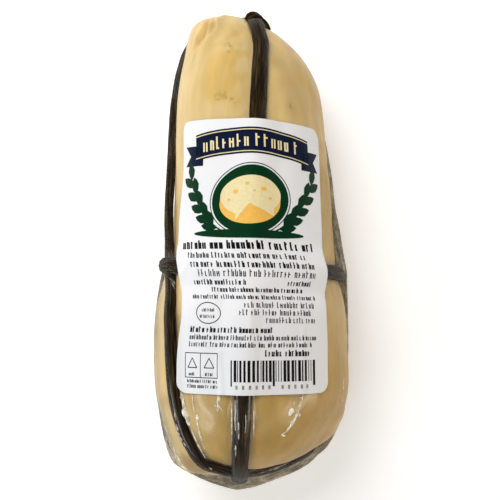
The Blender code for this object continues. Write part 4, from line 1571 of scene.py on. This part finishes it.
@lru_cache(maxsize=None)
def label_table():
    """Places on the label on an even grid, wrapped to their length across."""
    rows = np.arange(-TABLE_ALONG, TABLE_ALONG + 0.01, TABLE_STEP)
    wide = np.arange(-TABLE_ACROSS, TABLE_ACROSS + 0.01, TABLE_STEP)
    turns = np.linspace(-TABLE_TURN, TABLE_TURN, TABLE_TURN_COUNT)
    middle = math.radians(LABEL_TURN)
    shifts = soften(np.column_stack([
        np.interp(rows, LABEL_EDGES[:, 0], edge) for edge in LABEL_EDGES.T[1:]]),
        EDGE_ROUNDS)
    portion = 0.5 + wide / LABEL_WIDTH
    table = np.zeros((len(rows), len(wide), 3))
    for index, along in enumerate(rows):
        slope = LABEL_SKEW + LABEL_FAN * along
        rough_half = profile(share_at(LABEL_Y + along))[0, 1]
        y = LABEL_Y + along - slope * (turns - middle) * rough_half
        share = share_at(y)
        base = surface(share, turns)
        away = outward(base)
        half = profile(share)[:, 1]
        left, _ = side_turns(share)
        front, girth, side = (bump(gap, reach) for gap, reach in zip(
            (base[:, 0] - front_x(y), y - girth_y(turns), (turns - left) * half),
            LABEL_TENTS))
        cover = 1 - (1 - front) * (1 - girth) * (1 - side)
        climb = (girth_lift(turns) - CORD_LIFT) * girth
        height = LABEL_LOW + (LABEL_RIDGE - LABEL_LOW) * cover + climb
        film, _ = film_offset(base, cord_distance(base, away))
        height = -smooth_limit(-height, -film - LABEL_GAP, LABEL_GAP)
        points = base + away * height[:, None]
        steps = np.linalg.norm(np.diff(points[:, (0, 2)], axis=0), axis=1)
        length = np.concatenate(([0.0], np.cumsum(steps)))
        length -= np.interp(middle, turns, length)
        moved = wide + shifts[index, 0] * (1 - portion) + shifts[index, 1] * portion
        for k in range(3):
            table[index, :, k] = np.interp(moved, length, points[:, k])
    return rows, wide, table


def label_points(across, along, lift):
    """Places on the label from millimetres across and along it."""
    across, along = np.asarray(across, float), np.asarray(along, float)
    rows, wide, table = label_table()
    row = np.clip((along - rows[0]) / TABLE_STEP, 0, len(rows) - 1.001)
    column = np.clip((across - wide[0]) / TABLE_STEP, 0, len(wide) - 1.001)
    i, j = row.astype(int), column.astype(int)
    s, t = (row - i)[:, None], (column - j)[:, None]
    spot = ((table[i, j] * (1 - t) + table[i, j + 1] * t) * (1 - s)
            + (table[i + 1, j] * (1 - t) + table[i + 1, j + 1] * t) * s)
    height = np.asarray(lift, float) * np.ones(len(across))
    for rise, reach, start, end in LABEL_RIDGES:
        gap = segment_distance(across, along, start, end)
        height = height + rise * np.exp(-(gap / reach) ** 2)
    return spot + outward(spot) * height[:, None]


class PROVOLA_OT_label(bpy.types.Operator):
    """Curve the paper label over the cords"""
    bl_idname = "provola.label"
    bl_label = "Label"

    def execute(self, context):
        """Wrap a fine sheet with round corners and give it its thickness."""
        settings = context.scene.provola_label
        columns, middle_rows, corner_rows = 110, 190, 12
        corner = settings.corner / MM
        inner = LABEL_LENGTH / 2 - corner
        edge = inner + corner * np.sin(np.linspace(0.0, math.pi / 2, corner_rows))
        middle = np.linspace(-inner, inner, middle_rows)[1:-1]
        along = np.concatenate((-edge[::-1], middle, edge))
        beyond = np.maximum(np.abs(along) - inner, 0.0)
        half = LABEL_WIDTH / 2 - corner + np.sqrt(
            np.maximum(corner ** 2 - beyond ** 2, 0))
        share = np.linspace(-1.0, 1.0, columns)
        across = (half[:, None] * share[None, :]).ravel()
        points = label_points(across, np.repeat(along, columns), 0.0)
        piece = add_piece(
            "label_sheet", points, grid_faces(len(along), columns),
            paper_material(settings))
        shell = piece.modifiers.new("Paper", "SOLIDIFY")
        shell.thickness = settings.thickness
        shell.offset = -1.0
        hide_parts("label")
        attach(piece, "root")
        return {"FINISHED"}


# ---------------------------------------------------------------- the print

# Height of the lowest ink over the paper, and of each one that lies on it.
INK_LIFT = 0.05
INK_STEP = 0.04
# The print is cut this finely, so that it follows the paper's curve.
PRINT_CELL = 1.0
PRINT_ACROSS = 31.0
PRINT_ALONG = 50.0
# The badge, in millimetres across and along the label: the ribbon's foot, its
# half length and width, and the middle of the wheel's top.
RIBBON_LOW = 34.8
RIBBON_HALF = 24.0
RIBBON_WIDTH = 10.0
RIBBON_RISE = 2.6
WHEEL_TOP = 21.6
WHEEL_LOW = 18.6
WHEEL_HALF = 11.8
WHEEL_DEPTH = 7.6


def fan(u, v, wide, high, start=0.0, stop=math.tau, count=40):
    """Slices of an oval."""
    angle = np.linspace(start, stop, count + 1)
    rim = np.column_stack((u + wide * np.cos(angle), v + high * np.sin(angle)))
    return [((u, v), tuple(a), tuple(b)) for a, b in zip(rim, rim[1:])]


def hoop(u, v, wide, high, line, start=0.0, stop=math.tau, count=40):
    """Short pieces of an oval line."""
    angle = np.linspace(start, stop, count + 1)
    way = np.column_stack((np.cos(angle), np.sin(angle)))
    outer = way * (wide, high) + (u, v)
    inner = way * (wide - line, high - line) + (u, v)
    return [tuple(map(tuple, quad)) for quad in zip(inner, outer, outer[1:], inner[1:])]


def block(left, low, right, high, lean=0.0):
    """One upright block."""
    return [((left, low), (right, low), (right + lean, high), (left + lean, high))]


def frame_line(left, low, right, high, line):
    """Four blocks that frame a place."""
    return (block(left, low, right, low + line) + block(left, high - line, right, high)
            + block(left, low, left + line, high)
            + block(right - line, low, right, high))


def bar(start, end, half):
    """A straight line of print between two places."""
    (a, b), (c, d) = start, end
    aside = np.array((b - d, c - a))
    p, q = aside / np.linalg.norm(aside) * half
    return [((a - p, b - q), (c - p, d - q), (c + p, d + q), (a + p, b + q))]


def leaf(u, v, way, length, width):
    """One pointed leaf from its foot."""
    shape = ((0.0, 0.0), (0.25, 0.36), (0.55, 0.5), (0.82, 0.3), (1.0, 0.0),
             (0.82, -0.3), (0.55, -0.5), (0.25, -0.36))
    c, s = math.cos(way), math.sin(way)
    return [tuple(
        (u + length * a * c - width * b * s, v + length * a * s + width * b * c)
        for a, b in shape)]


def on_layer(layer, shapes):
    """Shapes with their height over the paper, one layer of ink on another."""
    return [(INK_LIFT + INK_STEP * layer, shape) for shape in shapes]


# How much of the full height most strokes of the print reach.
SHORT_STROKE = 0.74


def strokes(left, right, low, height, weight, seed, arch=None):
    """Short upright strokes in groups, which stand for a line of print."""
    draw = np.random.default_rng(seed)
    shapes = []
    place, left_in_word = left, int(draw.integers(3, 10))
    while place < right - height * 0.5:
        step = height * draw.uniform(0.4, 0.56)
        tall = height * (1.0 if draw.random() < 0.35 else SHORT_STROKE)
        base = low if arch is None else low + arch(place)
        kind = draw.random()
        shapes += block(place, base, place + weight, base + tall)
        if kind < 0.55:
            shapes += block(place + step * 0.5, base, place + step * 0.5 + weight,
                            base + SHORT_STROKE * height)
        if kind > 0.35:
            dash = base + height * draw.choice((0.0, 0.36, 0.64))
            shapes += block(place, dash, place + step * 0.62, dash + weight * 0.9)
        place += step + height * 0.12
        left_in_word -= 1
        if left_in_word == 0:
            place += height * 0.34
            left_in_word = int(draw.integers(3, 10))
    return shapes


def ribbon_arch(u):
    """How far the ribbon's middle rises above its ends."""
    return RIBBON_RISE * (1 - (u / RIBBON_HALF) ** 2)


def badge_shapes():
    """A ribbon over a cut wheel of cheese between two sprays of leaves."""
    ribbon, trim = [], []
    marks = np.linspace(-RIBBON_HALF, RIBBON_HALF, 33)
    for a, b in zip(marks, marks[1:]):
        low_a, low_b = RIBBON_LOW + ribbon_arch(a), RIBBON_LOW + ribbon_arch(b)
        for band, rise, width in (
                (ribbon, 0.0, RIBBON_WIDTH), (trim, 0.7, 0.35), (trim, 8.95, 0.35)):
            band.append(((a, low_a + rise), (b, low_b + rise),
                         (b, low_b + rise + width), (a, low_a + rise + width)))
    for side in (-1, 1):
        for low, high, tip in ((33.0, 36.8, 33.0), (36.8, 40.6, 40.6)):
            wide = [29.5 if edge == tip else 26.8 for edge in (low, high)]
            ribbon.append(((side * 20.5, low), (side * wide[0], low),
                           (side * wide[1], high), (side * 20.5, high)))
    letters = strokes(-20.5, 21.0, 37.5, 4.8, 0.72, 5, ribbon_arch)

    middle = (0.0, 20.2)
    green = fan(*middle, 15.0, 12.9, count=48)
    green += fan(0.0, 7.4, 22.0, 1.7, count=32)
    sprig = []
    for side in (-1, 1):
        stem = [(side * (9.0 + 16.5 * t), 8.2 + 19.5 * t ** 1.6)
                for t in np.linspace(0.0, 1.0, 12)]
        for start, end in zip(stem, stem[1:]):
            sprig += bar(start, end, 0.3)
        for number, (u, v) in enumerate(stem[2:]):
            base = math.radians(52 if number % 2 else 8)
            way = base + math.radians(number * 3)
            sprig += leaf(u, v, way if side > 0 else math.pi - way, 6.8, 3.5)
    rim = fan(0.0, WHEEL_LOW, WHEEL_HALF, WHEEL_DEPTH, math.pi, math.tau, 36)
    rim += block(-WHEEL_HALF, WHEEL_LOW, WHEEL_HALF, WHEEL_TOP)
    top = fan(0.0, WHEEL_TOP, WHEEL_HALF, WHEEL_DEPTH, math.radians(-35),
              math.radians(245), 48)
    cut = [((0.0, WHEEL_TOP), (-5.0, 14.7), (-5.0, 12.0), (0.0, WHEEL_LOW)),
           ((0.0, WHEEL_TOP), (0.0, WHEEL_LOW), (9.66, 14.2), (9.66, 17.2))]
    holes = []
    for u, v, size in ((-5.9, 23.0, 1.1), (-1.6, 26.0, 0.8), (4.8, 24.2, 1.1),
                       (-8.4, 19.9, 0.6), (7.6, 20.8, 0.6), (1.4, 23.3, 0.5)):
        holes += fan(u, v, size, size * 0.7, count=14)
    line = hoop(*middle, 15.9, 13.8, 0.35, math.radians(-58), math.radians(238), 48)
    return {
        "navy": on_layer(0, ribbon),
        "green": on_layer(0, green + sprig + line),
        "yellow": on_layer(1, rim) + on_layer(3, holes),
        "cream": on_layer(1, trim + letters) + on_layer(2, top) + on_layer(3, cut),
    }


# Lines of print: left, right, foot of the line, height, weight.
PRINT_LINES = (
    (-28.0, 27.0, 1.6, 3.3, 0.74),
    (-25.5, 22.0, -1.8, 2.2, 0.46), (-24.5, 25.5, -5.2, 2.3, 0.48),
    (-21.5, 26.0, -8.6, 2.6, 0.38), (-24.0, -2.0, -11.6, 2.0, 0.42),
    (13.5, 24.0, -11.6, 1.9, 0.38), (-16.5, 20.5, -14.2, 1.8, 0.38),
    (-25.5, 26.5, -16.7, 1.6, 0.34), (-4.0, 26.0, -19.7, 2.1, 0.34),
    (-6.0, 24.0, -22.4, 2.1, 0.34), (4.5, 26.0, -25.1, 2.1, 0.34),
    (-26.5, 8.0, -28.7, 2.1, 0.48), (-26.5, 26.0, -31.3, 1.8, 0.34),
    (-26.5, 24.0, -33.8, 1.8, 0.34), (4.5, 23.5, -37.0, 2.3, 0.5),
    (-27.0, -13.5, -46.7, 1.2, 0.26), (-27.0, -13.0, -48.6, 1.4, 0.28),
)


def text_shapes():
    """Lines of strokes, stripes, a framed pair of triangles and an oval."""
    shapes = []
    for number, (left, right, low, height, weight) in enumerate(PRINT_LINES):
        shapes += strokes(left, right, low, height, weight, 40 + number)
    shapes += hoop(-19.0, -21.8, 5.2, 3.9, 0.32)
    shapes += strokes(-21.6, -16.0, -21.3, 1.2, 0.24, 71)
    shapes += strokes(-22.6, -15.4, -23.6, 1.2, 0.24, 72)
    draw = np.random.default_rng(9)
    place = -8.6
    while place < 24.0:
        width = draw.choice((0.3, 0.3, 0.55, 0.8, 1.05))
        guard = place < -7.6 or 7.0 < place < 8.4 or place > 23.0
        shapes += block(place, -47.6 if guard else -46.0, place + width, -38.4)
        place += width + draw.choice((0.35, 0.5, 0.7))
    place = -6.6
    while place < 22.5:
        if not 6.6 < place < 8.6:
            shapes += block(place, -48.6, place + 0.26, -47.2)
            shapes += block(place + 0.45, -48.6, place + 0.68, -47.2)
        place += 2.5
    shapes += frame_line(-28.0, -45.0, -14.0, -36.0, 0.28)
    shapes += block(-21.2, -45.0, -20.95, -36.0)
    for middle in (-24.6, -17.5):
        corners = [(middle + 2.3 * math.cos(a), -40.2 + 2.3 * math.sin(a))
                   for a in np.radians((90, 210, 330))]
        for start, end in zip(corners, corners[1:] + corners[:1]):
            shapes += bar(start, end, 0.16)
        shapes += strokes(
            middle - 1.6, middle + 2.0, -44.2, 1.2, 0.24, int(90 + middle))
    return {"black": on_layer(0, shapes)}


def ink_piece(name, shapes, look):
    """Cut flat shapes finely, lay them on the label and join them."""
    work = bmesh.new()
    for lift, outline in shapes:
        area = sum(a[0] * b[1] - b[0] * a[1]
                   for a, b in zip(outline, outline[1:] + outline[:1]))
        if area < 0:
            outline = outline[::-1]
        work.faces.new([work.verts.new((u, v, lift)) for u, v in outline])
    for way, reach in ((Vector((1, 0, 0)), PRINT_ACROSS),
                       (Vector((0, 1, 0)), PRINT_ALONG)):
        for step in np.arange(-reach, reach + 0.1, PRINT_CELL):
            bmesh.ops.bisect_plane(
                work, geom=work.verts[:] + work.edges[:] + work.faces[:],
                dist=0.0001, plane_co=way * step, plane_no=way)
    flat = np.array([vertex.co for vertex in work.verts])
    places = label_points(flat[:, 0], flat[:, 1], flat[:, 2])
    for vertex, place in zip(work.verts, places * MM):
        vertex.co = place
    mesh = bpy.data.meshes.new(name)
    work.to_mesh(mesh)
    work.free()
    return place_mesh(mesh, look)


class PROVOLA_OT_print(bpy.types.Operator):
    """Print the label's generic badge and lines"""
    bl_idname = "provola.print"
    bl_label = "Print"

    def execute(self, context):
        """Lay each ink's shapes just above the paper."""
        settings = context.scene.provola_label
        for ink, shapes in {**badge_shapes(), **text_shapes()}.items():
            look = ink_material(ink + "_ink", getattr(settings, ink))
            piece = ink_piece("label_print_" + ink, shapes, look)
            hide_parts("label")
            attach(piece, "root")
        return {"FINISHED"}


# ---------------------------------------------------------------- the stage

FLOOR_HALF = 3000.0
ROOM_IN_GLOSS = 0.25
# Lamps: name, place, size and colour. Only the key is kept out of gloss.
LAMPS = (
    ("key", (-0.16, 0.26, 0.42), (0.35, 0.35), "#fffefc"),
    ("window", (-0.5, -0.36, 0.3), (0.4, 0.08), "#eff7ff"),
    ("warm", (0.5, -0.36, 0.3), (0.4, 0.08), "#fff1dd"),
)
LAMP_AIM = Vector((0.0, 0.0, 0.04))
CAMERA_AIM = Vector((-0.0004, -0.0005, 0.033))
CAMERA_RISE = 86.0
CAMERA_LENS = 63.0


def make_room(settings):
    """A room that is bright round the table, dim overhead and faint in gloss."""
    room = bpy.data.worlds.new("room")
    room.use_nodes = True
    tree = room.node_tree
    tree.nodes.clear()
    way = add_node(tree, "ShaderNodeTexCoord").outputs["Object"]
    height = add_node(tree, "ShaderNodeSeparateXYZ", {"Vector": way})
    glow = add_node(tree, "ShaderNodeMapRange", {
        "Value": height.outputs["Z"], "From Min": 0.25, "From Max": 0.85,
        "To Min": settings.horizon, "To Max": settings.zenith})
    mirrored = add_node(tree, "ShaderNodeMapRange", {
        "Value": add_node(tree, "ShaderNodeLightPath").outputs["Is Glossy Ray"],
        "To Min": 1.0, "To Max": ROOM_IN_GLOSS})
    strength = add_node(tree, "ShaderNodeMath", {
        0: glow, 1: mirrored}, operation="MULTIPLY")
    background = add_node(tree, "ShaderNodeBackground", {
        "Color": WHITE, "Strength": strength})
    add_node(tree, "ShaderNodeOutputWorld", {"Surface": background})
    return room


class PROVOLA_OT_stage(bpy.types.Operator):
    """Set the floor, the lights and the camera"""
    bl_idname = "provola.stage"
    bl_label = "Stage"

    def execute(self, context):
        """Look down on the label from the foot's side, under soft light."""
        settings = context.scene.provola_stage
        scene = context.scene
        scene.view_settings.view_transform = "Standard"
        corners = FLOOR_HALF * np.array(
            ((-1, -1, 0), (1, -1, 0), (1, 1, 0), (-1, 1, 0)))
        floor = add_piece("floor", corners, [(0, 1, 2, 3)], floor_material(settings))
        scene.world = make_room(settings)
        for name, place, size, colour in LAMPS:
            lamp = bpy.data.lights.new(name, "AREA")
            lamp.shape = "RECTANGLE"
            lamp.size, lamp.size_y = size
            lamp.energy = getattr(settings, name)
            lamp.color = linear(colour)
            holder = bpy.data.objects.new(name, lamp)
            holder.visible_glossy = name != "key"
            self.aim(scene, holder, Vector(place), LAMP_AIM)
        camera = bpy.data.cameras.new("camera")
        camera.sensor_width = 36.0
        camera.lens = CAMERA_LENS
        holder = bpy.data.objects.new("camera", camera)
        rise = math.radians(CAMERA_RISE)
        back = Vector((0.0, -math.cos(rise), math.sin(rise)))
        self.aim(scene, holder, CAMERA_AIM + back * settings.distance, CAMERA_AIM)
        scene.camera = holder
        return {"FINISHED"}

    def aim(self, scene, holder, place, target):
        """Stand a lamp or the camera at a place, turned to its target."""
        holder.location = place
        turn = (target - place).to_track_quat("-Z", "Y")
        holder.rotation_euler = turn.to_euler()
        scene.collection.objects.link(holder)


class PROVOLA_PT_panel(bpy.types.Panel):
    """Lists the pieces of the provola and their settings"""
    bl_label = "Smoked provola"
    bl_space_type = "VIEW_3D"
    bl_region_type = "UI"
    bl_category = "Provola"

    def draw(self, context):
        """One button for each piece, with its sizes and colours below it."""
        layout = self.layout
        for group, makers in PANEL_ROWS:
            box = layout.box()
            for maker in makers:
                box.operator(maker.bl_idname)
            values = getattr(context.scene, group)
            for name in type(values).__annotations__:
                box.prop(values, name)


SETTINGS = {
    "provola_cheese": CheeseSettings,
    "provola_cord": CordSettings,
    "provola_film": FilmSettings,
    "provola_label": LabelSettings,
    "provola_stage": StageSettings,
}
PANEL_ROWS = (
    ("provola_cheese", (PROVOLA_OT_cheese,)),
    ("provola_cord", (PROVOLA_OT_cord,)),
    ("provola_film", (PROVOLA_OT_film, PROVOLA_OT_hem)),
    ("provola_label", (PROVOLA_OT_label, PROVOLA_OT_print)),
    ("provola_stage", (PROVOLA_OT_stage,)),
)
CLASSES = (
    *SETTINGS.values(), PROVOLA_OT_cheese, PROVOLA_OT_cord, PROVOLA_OT_film,
    PROVOLA_OT_hem, PROVOLA_OT_label, PROVOLA_OT_print, PROVOLA_OT_stage,
    PROVOLA_PT_panel,
)


def register():
    """Add the classes and their settings."""
    for made in CLASSES:
        bpy.utils.register_class(made)
    for name, group in SETTINGS.items():
        setattr(bpy.types.Scene, name, bpy.props.PointerProperty(type=group))


def unregister():
    """Take the classes and their settings away."""
    for name in SETTINGS:
        delattr(bpy.types.Scene, name)
    for made in reversed(CLASSES):
        bpy.utils.unregister_class(made)


def main():
    """Dress the part."""
    register()
    bpy.ops.provola.stage()
    bpy.ops.provola.cheese()
    bpy.ops.provola.cord()
    bpy.ops.provola.film()
    bpy.ops.provola.hem()
    bpy.ops.provola.label()
    bpy.ops.provola.print()


if __name__ == "__main__":
    main()
